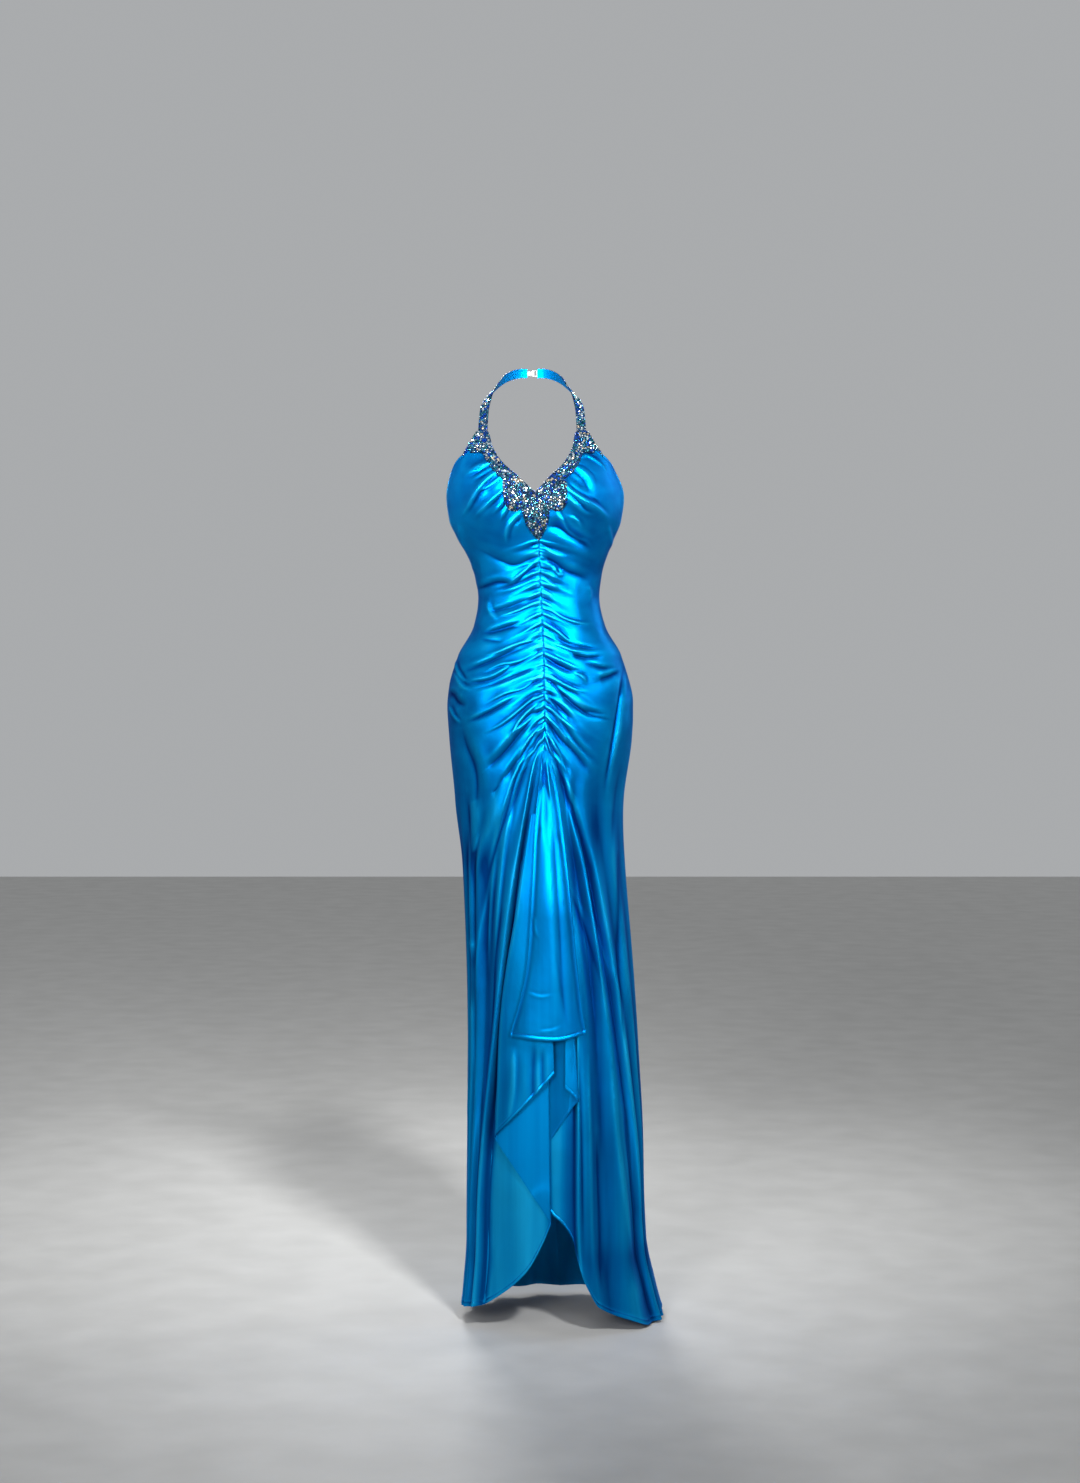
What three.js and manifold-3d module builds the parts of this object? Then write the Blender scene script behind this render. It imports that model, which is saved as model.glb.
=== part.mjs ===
// Full-length halter evening dress in satin, worn and standing open.
// Millimetres, +Z up, the front faces -Y. "Right" and "left" are the wearer's, so right is -X.
// The origin is where the halter rests on the back of the neck.
import * as THREE from 'three';
import { mergeVertices } from 'three/addons/utils/BufferGeometryUtils.js';
import Module from 'manifold-3d';

// Driving dimensions
const CLOTH = 1.5; // thickness of the satin wall
const SEAM = 0.3; // gap between two pieces at a seam
const TRIM = 2.2; // thickness of the beaded band
const STONE = 1.8; // how far a large stone stands out of the beaded band
const HEM = -1582; // the lowest hem point
const GATHER_TOP = -290; // where the ruched centre seam begins, under the beaded motif
const GATHER_END = -625; // where the ruched seam ends and the fan of folds begins
const GATHER_SIDE_TOP = -330; // the first and the last gathered line at the side seam
const GATHER_SIDE_END = -742;
const GATHERS = 20; // gathers on each side of the ruched seam
const BODICE_ROWS = 11;
const SKIRT_ROWS = 17;
const ROUNDNESS = 2.3; // exponent of the superellipse that each body section follows

// The hollow form, a section to a row: its middle, half its width, its front and its back.
const BODY = [
  { z: -90, middle: 0, half: 104, front: -134, back: -30 },
  { z: -122, middle: 0, half: 116, front: -148, back: -20 },
  { z: -165, middle: 2, half: 131, front: -164, back: -8 },
  { z: -214, middle: 5, half: 144, front: -172, back: 0 },
  { z: -254, middle: 5, half: 141, front: -174, back: -2 },
  { z: -280, middle: 6, half: 130, front: -171, back: -8 },
  { z: -307, middle: 8, half: 117, front: -167, back: -14 },
  { z: -346, middle: 10, half: 104, front: -162, back: -22 },
  { z: -381, middle: 11, half: 100, front: -160, back: -26 },
  { z: -426, middle: 12, half: 108, front: -164, back: -16 },
  { z: -478, middle: 13, half: 135, front: -174, back: 12 },
  { z: -558, middle: 13, half: 154, front: -186, back: 40 },
  { z: -610, middle: 14, half: 152, front: -188, back: 42 },
  { z: -716, middle: 12, half: 140, front: -186, back: 28 },
  { z: -822, middle: 19, half: 135, front: -183, back: 24 },
  { z: -1033, middle: 31, half: 139, front: -182, back: 34 },
  { z: -1244, middle: 38, half: 145, front: -185, back: 50 },
  { z: -1455, middle: 41, half: 149, front: -192, back: 70 },
  { z: -1534, middle: 46, half: 160, front: -197, back: 82 },
  { z: HEM, middle: 50, half: 169, front: -200, back: 90 },
];
const SIDE_SEAM = { y: -88, z: -300, lean: -0.02 }; // the side seams are straight in side view
const CUP = { side: 62, z: -212, depth: 29, across: 42, down: 48 };

// The centre front seam in front view. It is straight below the ruching.
const CENTRE_SEAM = [
  { z: -90, x: 0 },
  { z: -190, x: 3 },
  { z: -290, x: 11 },
  { z: -478, x: 19 },
  { z: GATHER_END, x: 21 },
  { z: HEM, x: 33 },
];

// The cut edge above each front: V neck, cup tip, then armhole. u runs from centre seam to side.
const TOP_EDGE = [
  { u: 0, z: -213 },
  { u: 0.08, z: -190 },
  { u: 0.2, z: -165 },
  { u: 0.3, z: -140 },
  { u: 0.41, z: -111 },
  { u: 0.545, z: -110 },
  { u: 0.63, z: -145 },
  { u: 0.72, z: -154 },
  { u: 0.8, z: -166 },
  { u: 0.88, z: -212 },
  { u: 0.94, z: -250 },
  { u: 1, z: -300 },
];
const BACK_TOP = [
  { u: 0, z: -408 },
  { u: 0.3, z: -400 },
  { u: 0.6, z: -368 },
  { u: 0.85, z: -322 },
  { u: 1, z: -300 },
];
const HEM_RIGHT = [
  { u: 0, z: -1408 },
  { u: 0.06, z: -1442 },
  { u: 0.17, z: -1485 },
  { u: 0.38, z: -1525 },
  { u: 0.6, z: -1550 },
  { u: 0.83, z: -1560 },
  { u: 1, z: -1563 },
];
const HEM_LEFT = [
  { u: 0, z: -1388 },
  { u: 0.14, z: -1432 },
  { u: 0.19, z: -1500 },
  { u: 0.25, z: -1542 },
  { u: 0.46, z: -1567 },
  { u: 0.66, z: HEM },
  { u: 1, z: -1578 },
];

// The folds of each front, a fold line to a row: where it lies across the front at each height,
// and how far it stands out below the fan, or in where it is negative.
const LEVELS = [-540, -640, -700, -835, -1100, -1400, HEM];
const FOLDS_RIGHT = [
  { name: 'seam', across: [0, 0, 0, 0, 0, 0, 0], out: -9 },
  { name: 'recess', across: [0.035, 0.012, 0.03, 0.08, 0.16, 0.26, 0.28], out: -10 },
  { name: 'groove', across: [0.08, 0.028, 0.06, 0.17, 0.365, 0.54, 0.56], out: -9 },
  { name: 'crest', across: [0.14, 0.045, 0.085, 0.21, 0.415, 0.6, 0.62], out: 9 },
  { name: 'shoulder', across: [0.2, 0.075, 0.12, 0.29, 0.47, 0.65, 0.67], out: 1 },
  { name: 'valley', across: [0.3, 0.14, 0.18, 0.44, 0.56, 0.72, 0.74], out: -4 },
  { name: 'swell', across: [0.41, 0.23, 0.27, 0.56, 0.64, 0.77, 0.79], out: 4 },
  { name: 'dip_1', across: [0.545, 0.35, 0.38, 0.63, 0.7, 0.81, 0.83], out: -3 },
  { name: 'swell_1', across: [0.63, 0.47, 0.5, 0.7, 0.76, 0.85, 0.87], out: 3 },
  { name: 'dip_2', across: [0.72, 0.6, 0.62, 0.77, 0.82, 0.885, 0.9], out: -2 },
  { name: 'swell_2', across: [0.8, 0.71, 0.73, 0.84, 0.87, 0.92, 0.93], out: 1.5 },
  { name: 'dip_3', across: [0.88, 0.82, 0.83, 0.9, 0.92, 0.95, 0.955], out: -1 },
  { name: 'swell_3', across: [0.94, 0.91, 0.92, 0.95, 0.96, 0.975, 0.98], out: 0.5 },
  { name: 'side', across: [1, 1, 1, 1, 1, 1, 1], out: 0 },
];
const FOLDS_LEFT = [
  { name: 'seam', across: [0, 0, 0, 0, 0, 0, 0], out: -8 },
  { name: 'recess', across: [0.035, 0.008, 0.015, 0.035, 0.08, 0.07, 0.09], out: -8 },
  { name: 'groove', across: [0.08, 0.016, 0.026, 0.055, 0.135, 0.12, 0.15], out: -7 },
  { name: 'crest', across: [0.14, 0.028, 0.04, 0.078, 0.168, 0.15, 0.185], out: 4 },
  { name: 'swell', across: [0.2, 0.05, 0.08, 0.15, 0.24, 0.24, 0.25], out: 2 },
  { name: 'valley', across: [0.3, 0.1, 0.125, 0.21, 0.32, 0.34, 0.33], out: -6 },
  { name: 'swell_1', across: [0.41, 0.16, 0.165, 0.275, 0.42, 0.52, 0.52], out: 5 },
  { name: 'long_fold', across: [0.545, 0.25, 0.21, 0.335, 0.53, 0.7, 0.74], out: -7 },
  { name: 'swell_2', across: [0.63, 0.36, 0.29, 0.4, 0.59, 0.76, 0.8], out: 4 },
  { name: 'dip_2', across: [0.72, 0.5, 0.42, 0.51, 0.67, 0.82, 0.86], out: -2.5 },
  { name: 'swell_3', across: [0.8, 0.63, 0.57, 0.63, 0.76, 0.87, 0.9], out: 2 },
  { name: 'dip_3', across: [0.88, 0.76, 0.72, 0.76, 0.84, 0.92, 0.94], out: -1.5 },
  { name: 'swell_4', across: [0.94, 0.88, 0.86, 0.88, 0.92, 0.96, 0.97], out: 0.5 },
  { name: 'side', across: [1, 1, 1, 1, 1, 1, 1], out: 0 },
];
// The fullness of the skirt back: how far each fold stands out at the hem, from zip to side.
const BACK_FOLDS = [
  { across: 0, out: -3 },
  { across: 0.12, out: 7 },
  { across: 0.25, out: -7 },
  { across: 0.38, out: 9 },
  { across: 0.52, out: -8 },
  { across: 0.66, out: 7 },
  { across: 0.8, out: -5 },
  { across: 0.91, out: 3 },
  { across: 1, out: 0 },
];
const BACK_ROWS = 26;

// Soft ridges on the cups, in front view: distance from the centre seam and height of each end.
const CUP_FOLDS_RIGHT = [
  { side: 56, z: -176, toSide: 116, toZ: -250, out: 3.2, width: 9 },
  { side: 52, z: -214, toSide: 92, toZ: -258, out: 3.2, width: 9 },
  { side: 68, z: -166, toSide: 108, toZ: -182, out: 2.4, width: 8 },
  { side: 34, z: -262, toSide: 62, toZ: -296, out: 2.6, width: 9 },
];
const CUP_FOLDS_LEFT = [
  { side: 44, z: -176, toSide: 84, toZ: -216, out: -3.4, width: 9 },
  { side: 38, z: -197, toSide: 113, toZ: -258, out: 3.4, width: 9 },
  { side: 42, z: -222, toSide: 92, toZ: -246, out: 2.8, width: 9 },
  { side: 20, z: -262, toSide: 86, toZ: -304, out: -3.8, width: 10 },
];

// The beaded trim. Its rows and columns are those of the front that it lies on.
const TRIM_GAP = 0.9; // between a front and the trim on it, which follows it in shorter steps
const BAND_ROWS = 2; // rows of the front that the neck band covers
const BAND_STEPS = 4;
const BAND_GAP = 0.004; // of a column, from the centre seam to the end of a neck band
const STRAP_COLUMN = 6; // the strap stands on the cup tip, between this column and the next
const CUP_TIP_COLUMN = 8;
const CUP_TIP_GAP = 0.03;
const MOTIF_ROWS = 9;
const MOTIF_GAP = 0.06;
const MOTIF = [
  { column: -3.75, foot: 4.8 },
  { column: -3.5, foot: 5.6 },
  { column: -3, foot: 6 },
  { column: -2.5, foot: 5.9 },
  { column: -2, foot: 5.3 },
  { column: -1.6, foot: 7.6 },
  { column: -1, foot: 9.2 },
  { column: -0.5, foot: 10.2 },
  { column: 0, foot: 10.9 },
  { column: 0.5, foot: 10.2 },
  { column: 1, foot: 9.2 },
  { column: 1.6, foot: 7.6 },
  { column: 2, foot: 5.3 },
  { column: 2.5, foot: 5.9 },
  { column: 3, foot: 6 },
  { column: 3.5, foot: 5.6 },
  { column: 3.75, foot: 4.8 },
];

// The halter straps: the middle line from the cup tip to the clasp, on the left side.
const STRAP_WIDTH = 15.5;
const STRAP_ACROSS = 4;
const STRAP_STEPS = 30;
const STRAP_LIFT = 2.6; // clear of the cup tip and its beading
const STRAP_FORWARD = 1.2;
const STRAP_PATH = [
  { x: 80, y: -124, z: -92 },
  { x: 78, y: -110, z: -70 },
  { x: 72, y: -88, z: -50 },
  { x: 62, y: -60, z: -34 },
  { x: 47, y: -31.5, z: -14 },
  { x: 31, y: -10.5, z: -3.5 },
  { x: 19, y: -1.2, z: -0.2 },
  { x: 8.6, y: 1.1, z: 0 },
];
// Which way the strap's outer face looks along it.
const STRAP_FACING = [
  { t: 0, x: 0.1, y: -1, z: 0.1 },
  { t: 0.25, x: 0.35, y: -0.8, z: 0.35 },
  { t: 0.5, x: 0.85, y: -0.35, z: 0.45 },
  { t: 0.75, x: 0.8, y: 0.45, z: 0.35 },
  { t: 1, x: 0.03, y: 1, z: 0.05 },
];

// The clasp at the nape: the hook's outline seen from above, and the eye that it holds.
const HOOK_HEIGHT = 7;
const HOOK_OUTLINE = [
  { x: -12, y: 2.6 },
  { x: -12, y: 3.6 },
  { x: 3.5, y: 3.6 },
  { x: 3.5, y: 0 },
  { x: -1, y: 0 },
  { x: -1, y: 0.9 },
  { x: 2.4, y: 0.9 },
  { x: 2.4, y: 2.6 },
];
const EYE = { start: 0.5, end: 8.3, height: 11, bar: 1.4, inner: 1.25, thick: 0.9 };

// The cascade of folds below the fan, in front view.
const LAYER = 2.1; // from the middle of one layer of cloth to the next where they meet
const CASCADE_SEAM = 1.6; // from the centre seam to the edge of a side fold
const CASCADE = [
  { z: -632, centreRight: 17, centreLeft: 26, rightFold: 14, rightEnd: 19, leftFold: 40, leftEnd: 34 },
  { z: -700, centreRight: 10, centreLeft: 42, rightFold: 4, rightEnd: 19, leftFold: 46, leftEnd: 38 },
  { z: -752, centreRight: 5, centreLeft: 49, rightFold: -5, rightEnd: 20, leftFold: 50, leftEnd: 41 },
  { z: -835, centreRight: 1, centreLeft: 59, rightFold: -18, rightEnd: 23, leftFold: 55, leftEnd: 45 },
  { z: -911, centreRight: -3, centreLeft: 66, rightFold: -29, rightEnd: 26, leftFold: 60, leftEnd: 48 },
  { z: -981, centreRight: -9, centreLeft: 73, rightFold: -41, rightEnd: 29, leftFold: 64, leftEnd: 51 },
  { z: -1049, centreRight: -23, centreLeft: 81, rightFold: -50, rightEnd: 32, leftFold: 67, leftEnd: 53 },
  { z: -1100, centreRight: -36, centreLeft: 88, rightFold: -54, rightEnd: 34, leftFold: 70, leftEnd: 54 },
  { z: -1200, centreRight: -36, centreLeft: 88, rightFold: -58, rightEnd: 37, leftFold: 76, leftEnd: 54 },
  { z: -1268, centreRight: -36, centreLeft: 88, rightFold: -61, rightEnd: 38, leftFold: 78, leftEnd: 54 },
];
const HAIRPIN_IN = 0.46; // the share of a side fold before its round turn, and after it
const HAIRPIN_OUT = 0.54;
const HAIRPIN_SHARES = [0, 0.16, 0.32, 0.46, 0.48, 0.5, 0.52, 0.54, 0.7, 0.85, 1];
const CASCADE_RIGHT = { top: -735, rows: 14 };
const CASCADE_RIGHT_HEM = [
  { w: 0, z: -1402 },
  { w: 0.5, z: -1266 },
  { w: 1, z: -1158 },
];
const CASCADE_LEFT = { top: -900, rows: 8 };
const CASCADE_LEFT_HEM = [
  { w: 0, z: -1269 },
  { w: 0.5, z: -1203 },
  { w: 1, z: -1181 },
];
// The centre drape: how far it stands out at its turned-under edges, its sides and its middle,
// at the fan, and how much more once the folds are full. w is 0 in its middle and 1 at a side.
const DRAPE = { top: -632, rows: 16, turn: 9 };
const DRAPE_OUT = {
  under: { start: 2, full: 20 },
  side: { start: 4.4, full: 23.5 },
  crown: { start: 5.6, full: 32 },
};
const DRAPE_SHARES = [-2, -1.5, -1, -0.8, -0.5, -0.17, 0.17, 0.5, 0.8, 1, 1.5, 2];
const DRAPE_HEM = [
  { w: -1, z: -1096 },
  { w: 0.2, z: -1101 },
  { w: 1, z: -1091 },
];

// The concealed zip at the centre back, with the slider at its top.
const ZIP_TAPE = { rows: 4, steps: 4, columns: 0.5, thick: 1, gap: 0.5 };
const SLIDER = { from: 1, length: 10, width: 7, thick: 2, gap: 0.35 };
const EAR = { width: 0.9, x: 2.9, length: 3, past: 0.9 };
const PULL = { pin: 6, rise: 2.5, pinRadius: 0.6, bore: 0.95, knuckle: 1.6, ringWidth: 4 };
const TAB = { neck: 1.4, wide: 4, length: 20, thick: 1.2 };

const SATIN = new THREE.MeshStandardMaterial({ color: 0x0a84c8, roughness: 0.35, metalness: 0.2 });
const BEADS = new THREE.MeshStandardMaterial({ color: 0x5c93ad, roughness: 0.25, metalness: 0.4 });
const STEEL = new THREE.MeshStandardMaterial({ color: 0xb9bec4, roughness: 0.3, metalness: 0.9 });

const clamp = (value, low, high) => Math.min(high, Math.max(low, value));
const mix = (a, b, share) => a + (b - a) * share;
const smooth = (value, start, end) => {
  const t = clamp((value - start) / (end - start), 0, 1);
  return t * t * (3 - 2 * t);
};
const signedPower = (value, power) => Math.sign(value) * Math.abs(value) ** power;

/** A smooth curve through points (xs, ys) that never swings past them. */
function curveThrough(xs, ys, x) {
  const last = xs.length - 1;
  const rising = xs[last] > xs[0];
  if (rising ? x <= xs[0] : x >= xs[0]) return ys[0];
  if (rising ? x >= xs[last] : x <= xs[last]) return ys[last];
  const slope = (i) => (ys[i + 1] - ys[i]) / (xs[i + 1] - xs[i]);
  const tangent = (i) => {
    if (i === 0 || i === last) return slope(i === 0 ? 0 : last - 1);
    const before = slope(i - 1);
    const after = slope(i);
    return before * after <= 0 ? 0 : (2 * before * after) / (before + after);
  };
  let i = 0;
  while (i < last - 1 && (rising ? x > xs[i + 1] : x < xs[i + 1])) i += 1;
  const span = xs[i + 1] - xs[i];
  const t = (x - xs[i]) / span;
  const start = (1 + 2 * t) * (1 - t) ** 2 * ys[i] + t * t * (3 - 2 * t) * ys[i + 1];
  return start + (t * (1 - t) ** 2 * tangent(i) - t * t * (1 - t) * tangent(i + 1)) * span;
}

/** The straight-line value of a table's column at a key. */
function lineThrough(table, key, column, value) {
  const last = table.length - 1;
  const rising = table[last][key] > table[0][key];
  let i = 0;
  while (i < last - 1 && (rising ? value > table[i + 1][key] : value < table[i + 1][key])) i += 1;
  const share = (value - table[i][key]) / (table[i + 1][key] - table[i][key]);
  return mix(table[i][column], table[i + 1][column], clamp(share, 0, 1));
}

const body = (column, z) =>
  curveThrough(BODY.map((row) => row.z), BODY.map((row) => row[column]), z);
const sideSeamY = (z) => SIDE_SEAM.y + (z - SIDE_SEAM.z) * SIDE_SEAM.lean;
const centreSeamX = (z) => lineThrough(CENTRE_SEAM, 'z', 'x', z);

/** The point of the hollow form at an angle: 0 is +X, a quarter turn is the front. */
function formPoint(angle, z) {
  const power = 2 / ROUNDNESS;
  const c = Math.cos(angle);
  const s = Math.sin(angle);
  const middleY = sideSeamY(z);
  const depth = s >= 0 ? middleY - body('front', z) : body('back', z) - middleY;
  const x = body('middle', z) + body('half', z) * signedPower(c, power);
  return new THREE.Vector3(x, middleY - depth * signedPower(s, power), z);
}

/** The level outward direction of the hollow form at an angle. */
function formNormal(angle, z) {
  const step = 0.004;
  const ahead = formPoint(angle + step, z);
  const behind = formPoint(angle - step, z);
  const tangent = ahead.sub(behind);
  return new THREE.Vector3(-tangent.y, tangent.x, 0).normalize();
}

/** The front angle at which the form passes a given x. */
function angleOfX(x, z) {
  const ratio = clamp((x - body('middle', z)) / body('half', z), -1, 1);
  return Math.acos(signedPower(ratio, ROUNDNESS / 2));
}

/** The angle of the side seam's edge on the front or back, half a seam gap from the seam. */
function sideGapAngle(z, front) {
  const depth = front ? sideSeamY(z) - body('front', z) : body('back', z) - sideSeamY(z);
  return (SEAM / 2 / depth) ** (ROUNDNESS / 2);
}

/** The angle on a front at a share u from its centre seam to its side seam. side is -1 or 1. */
function frontAngle(side, u, z) {
  const start = angleOfX(centreSeamX(z) + (side * SEAM) / 2, z);
  const end = side > 0 ? sideGapAngle(z, true) : Math.PI - sideGapAngle(z, true);
  return mix(start, end, u);
}

/** How far the cup stands out of the form. */
function cupOut(x, z) {
  const across = (Math.abs(x - body('middle', z)) - CUP.side) / CUP.across;
  const down = (z - CUP.z) / CUP.down;
  return CUP.depth * Math.exp(-(across * across + down * down) / 2);
}

/** How far the soft ridges of a cup stand out at a point in front view. */
function cupFoldOut(folds, side, z) {
  let out = 0;
  for (const fold of folds) {
    const dx = fold.toSide - fold.side;
    const dz = fold.toZ - fold.z;
    const length = Math.hypot(dx, dz);
    const t = ((side - fold.side) * dx + (z - fold.z) * dz) / (length * length);
    const away = ((side - fold.side) * dz - (z - fold.z) * dx) / length;
    const taper = smooth(t, -0.12, 0.15) * (1 - smooth(t, 0.6, 1.1));
    out += fold.out * taper * Math.exp(-((away / fold.width) ** 2));
  }
  return out;
}

/** How strongly the folds of the skirt show at a height: none above the fan. */
const foldGrowth = (z) => smooth(-z, 620, 900);

/** How far gather number k stands out, at a distance from the ruched seam. */
function gatherOut(k, distance) {
  const full = k < 2 * GATHERS ? 1 : 0.25; // the last ridge fades into the fan
  const height = full * (2.1 + 0.9 * Math.sin(k * 2.4));
  const reach = 34 + 26 * (0.5 + 0.5 * Math.sin(k * 1.7 + 1));
  const nearSeam = 0.45 + 0.55 * smooth(distance, 0, 12);
  return height * nearSeam * Math.exp(-((distance / reach) ** 1.5));
}

/** The height of gathered line number k (a ridge or the trough after it) across a front. */
function gatherLineZ(share, u) {
  const seam = mix(GATHER_TOP, GATHER_END, share);
  const side = mix(GATHER_SIDE_TOP, GATHER_SIDE_END, share);
  return mix(seam, side, 1 - (1 - u) ** 1.5);
}

/** The middle points of one front: rows down the dress, columns from centre seam to side seam. */
function frontGrid(side) {
  const folds = side > 0 ? FOLDS_LEFT : FOLDS_RIGHT;
  const hem = side > 0 ? HEM_LEFT : HEM_RIGHT;
  const cupFolds = side > 0 ? CUP_FOLDS_LEFT : CUP_FOLDS_RIGHT;
  const lines = 2 * GATHERS;
  const point = (j, z, gather) => {
    const u = curveThrough(LEVELS, folds[j].across, z);
    const angle = frontAngle(side, u, z);
    const at = formPoint(angle, z);
    const fromSeam = Math.abs(at.x - centreSeamX(z));
    let out = cupOut(at.x, z) * (1 - smooth(u, 0.85, 1));
    out += cupFoldOut(cupFolds, fromSeam, z);
    out += folds[j].out * foldGrowth(z);
    if (gather !== null) out += (gather % 2 ? -1 : 1) * gatherOut(gather, fromSeam) * (1 - u);
    return at.addScaledVector(formNormal(angle, z), out);
  };
  const column = (j) => folds[j].across[0];
  const grid = [];
  for (let i = 0; i < BODICE_ROWS; i += 1) {
    grid.push(folds.map((_, j) => {
      const top = lineThrough(TOP_EDGE, 'u', 'z', column(j));
      return point(j, mix(top, gatherLineZ(0, column(j)), i / BODICE_ROWS), null);
    }));
  }
  for (let i = 0; i <= lines; i += 1) {
    grid.push(folds.map((_, j) => point(j, gatherLineZ(i / lines, column(j)), i)));
  }
  for (let i = 1; i <= SKIRT_ROWS; i += 1) {
    grid.push(folds.map((fold, j) => {
      const start = gatherLineZ(1, column(j));
      const end = lineThrough(hem, 'u', 'z', fold.across[LEVELS.length - 1]);
      return point(j, mix(start, end, i / SKIRT_ROWS), null);
    }));
  }
  return grid;
}

/** The middle points of one half of the back. */
function backGrid(side) {
  const hem = side > 0 ? -1576 : -1566;
  const grid = [];
  for (let i = 0; i <= BACK_ROWS; i += 1) {
    grid.push(BACK_FOLDS.map((fold) => {
      const top = lineThrough(BACK_TOP, 'u', 'z', fold.across);
      const foot = mix(-1572, hem, fold.across);
      const z = mix(top, foot, i / BACK_ROWS);
      const centre = 1.5 * Math.PI;
      const gap = (SEAM / 2 / body('half', z)) ** (ROUNDNESS / 2);
      const start = centre + side * gap;
      const end = side > 0 ? 2 * Math.PI - sideGapAngle(z, false) : Math.PI + sideGapAngle(z, false);
      const angle = mix(start, end, fold.across);
      const out = fold.out * smooth(-z, 700, 1500);
      return formPoint(angle, z).addScaledVector(formNormal(angle, z), out);
    }));
  }
  return grid;
}

/** The direction that a grid's wall is thickened in at a point, towards its outer face. */
function gridNormal(grid, i, j, facing) {
  const rows = grid.length - 1;
  const columns = grid[0].length - 1;
  const across = grid[i][Math.min(j + 1, columns)].clone().sub(grid[i][Math.max(j - 1, 0)]);
  const down = grid[Math.min(i + 1, rows)][j].clone().sub(grid[Math.max(i - 1, 0)][j]);
  return across.cross(down).normalize().multiplyScalar(facing);
}

/**
 * A closed wall over a grid of middle points. facing is 1 or -1, for which side is outside.
 * keep says what part of a normal an edge column loses, so that a seam edge stays in its plane.
 */
function wall(name, grid, material, { thickness = CLOTH, facing = 1, keep = {}, raise = null }) {
  const rows = grid.length;
  const columns = grid[0].length;
  const positions = [];
  for (const layer of [0.5, -0.5]) {
    for (let i = 0; i < rows; i += 1) {
      for (let j = 0; j < columns; j += 1) {
        const normal = gridNormal(grid, i, j, facing);
        const axis = (j === 0 && keep.first) || (j === columns - 1 && keep.last);
        if (axis) {
          normal[axis] = 0;
          normal.normalize();
        }
        const extra = layer > 0 && raise ? raise(i, j) : 0;
        const at = grid[i][j].clone().addScaledVector(normal, layer * thickness + extra);
        positions.push(at.x, at.y, at.z);
      }
    }
  }
  const outer = (i, j) => i * columns + j;
  const inner = (i, j) => rows * columns + i * columns + j;
  const faces = [];
  const quad = (a, b, c, d) => {
    if (facing > 0) faces.push(a, b, c, a, c, d);
    else faces.push(a, c, b, a, d, c);
  };
  for (let i = 0; i < rows - 1; i += 1) {
    for (let j = 0; j < columns - 1; j += 1) {
      quad(outer(i, j), outer(i, j + 1), outer(i + 1, j + 1), outer(i + 1, j));
      quad(inner(i, j), inner(i + 1, j), inner(i + 1, j + 1), inner(i, j + 1));
    }
  }
  for (let j = 0; j < columns - 1; j += 1) {
    quad(outer(0, j), inner(0, j), inner(0, j + 1), outer(0, j + 1));
    quad(outer(rows - 1, j), outer(rows - 1, j + 1), inner(rows - 1, j + 1), inner(rows - 1, j));
  }
  for (let i = 0; i < rows - 1; i += 1) {
    quad(outer(i, 0), outer(i + 1, 0), inner(i + 1, 0), inner(i, 0));
    const last = columns - 1;
    quad(outer(i, last), inner(i, last), inner(i + 1, last), outer(i + 1, last));
  }
  const geometry = new THREE.BufferGeometry();
  geometry.setAttribute('position', new THREE.Float32BufferAttribute(positions, 3));
  geometry.setIndex(faces);
  geometry.computeVertexNormals();
  const mesh = new THREE.Mesh(geometry, material);
  mesh.name = name;
  return mesh;
}

/** The point on the facets of a grid at a fractional row and column, raised by lift. */
function gridPoint(grid, row, column, facing, lift) {
  const i = Math.min(Math.floor(row), grid.length - 2);
  const j = Math.min(Math.floor(column), grid[0].length - 2);
  const raised = (a, b) => {
    const normal = gridNormal(grid, a, b, facing);
    if (b === 0) normal.setX(0).normalize();
    return grid[a][b].clone().addScaledVector(normal, lift);
  };
  const [s, t] = [column - j, row - i];
  const [near, far] = s >= t ? [t, s] : [s, t];
  const corner = s >= t ? raised(i, j + 1) : raised(i + 1, j);
  return raised(i, j).multiplyScalar(1 - far)
    .addScaledVector(corner, far - near)
    .addScaledVector(raised(i + 1, j + 1), near);
}

const frontRight = frontGrid(-1);
const frontLeft = frontGrid(1);
const backRight = backGrid(-1);
const backLeft = backGrid(1);

/** The middle of trim on the fronts. A column is negative on the right front. */
function trimPoint(row, column) {
  const lift = CLOTH / 2 + TRIM_GAP + TRIM / 2;
  const right = () => gridPoint(frontRight, row, Math.abs(column), 1, lift);
  const left = () => gridPoint(frontLeft, row, Math.abs(column), -1, lift);
  if (column < 0) return right();
  if (column > 0) return left();
  return right().lerp(left(), 0.5);
}

/** Large stones stand out of a band in pairs along its middle. */
const bandStones = (i, j) => (i === BAND_STEPS / 2 && j > 0 && j % 4 > 1 ? STONE : 0);

/** A beaded band on the cut edge of one front, from one column of it to another. */
function edgeBand(name, side, from, to, steps) {
  const grid = [];
  for (let i = 0; i <= BAND_STEPS; i += 1) {
    const row = (BAND_ROWS * i) / BAND_STEPS;
    const columns = Array.from({ length: steps + 1 }, (_, j) => side * mix(from, to, j / steps));
    grid.push(columns.map((column) => trimPoint(row, column)));
  }
  const keep = from < 1 ? { first: 'x' } : {};
  return wall(name, grid, BEADS, { thickness: TRIM, facing: -side, keep, raise: bandStones });
}

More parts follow.
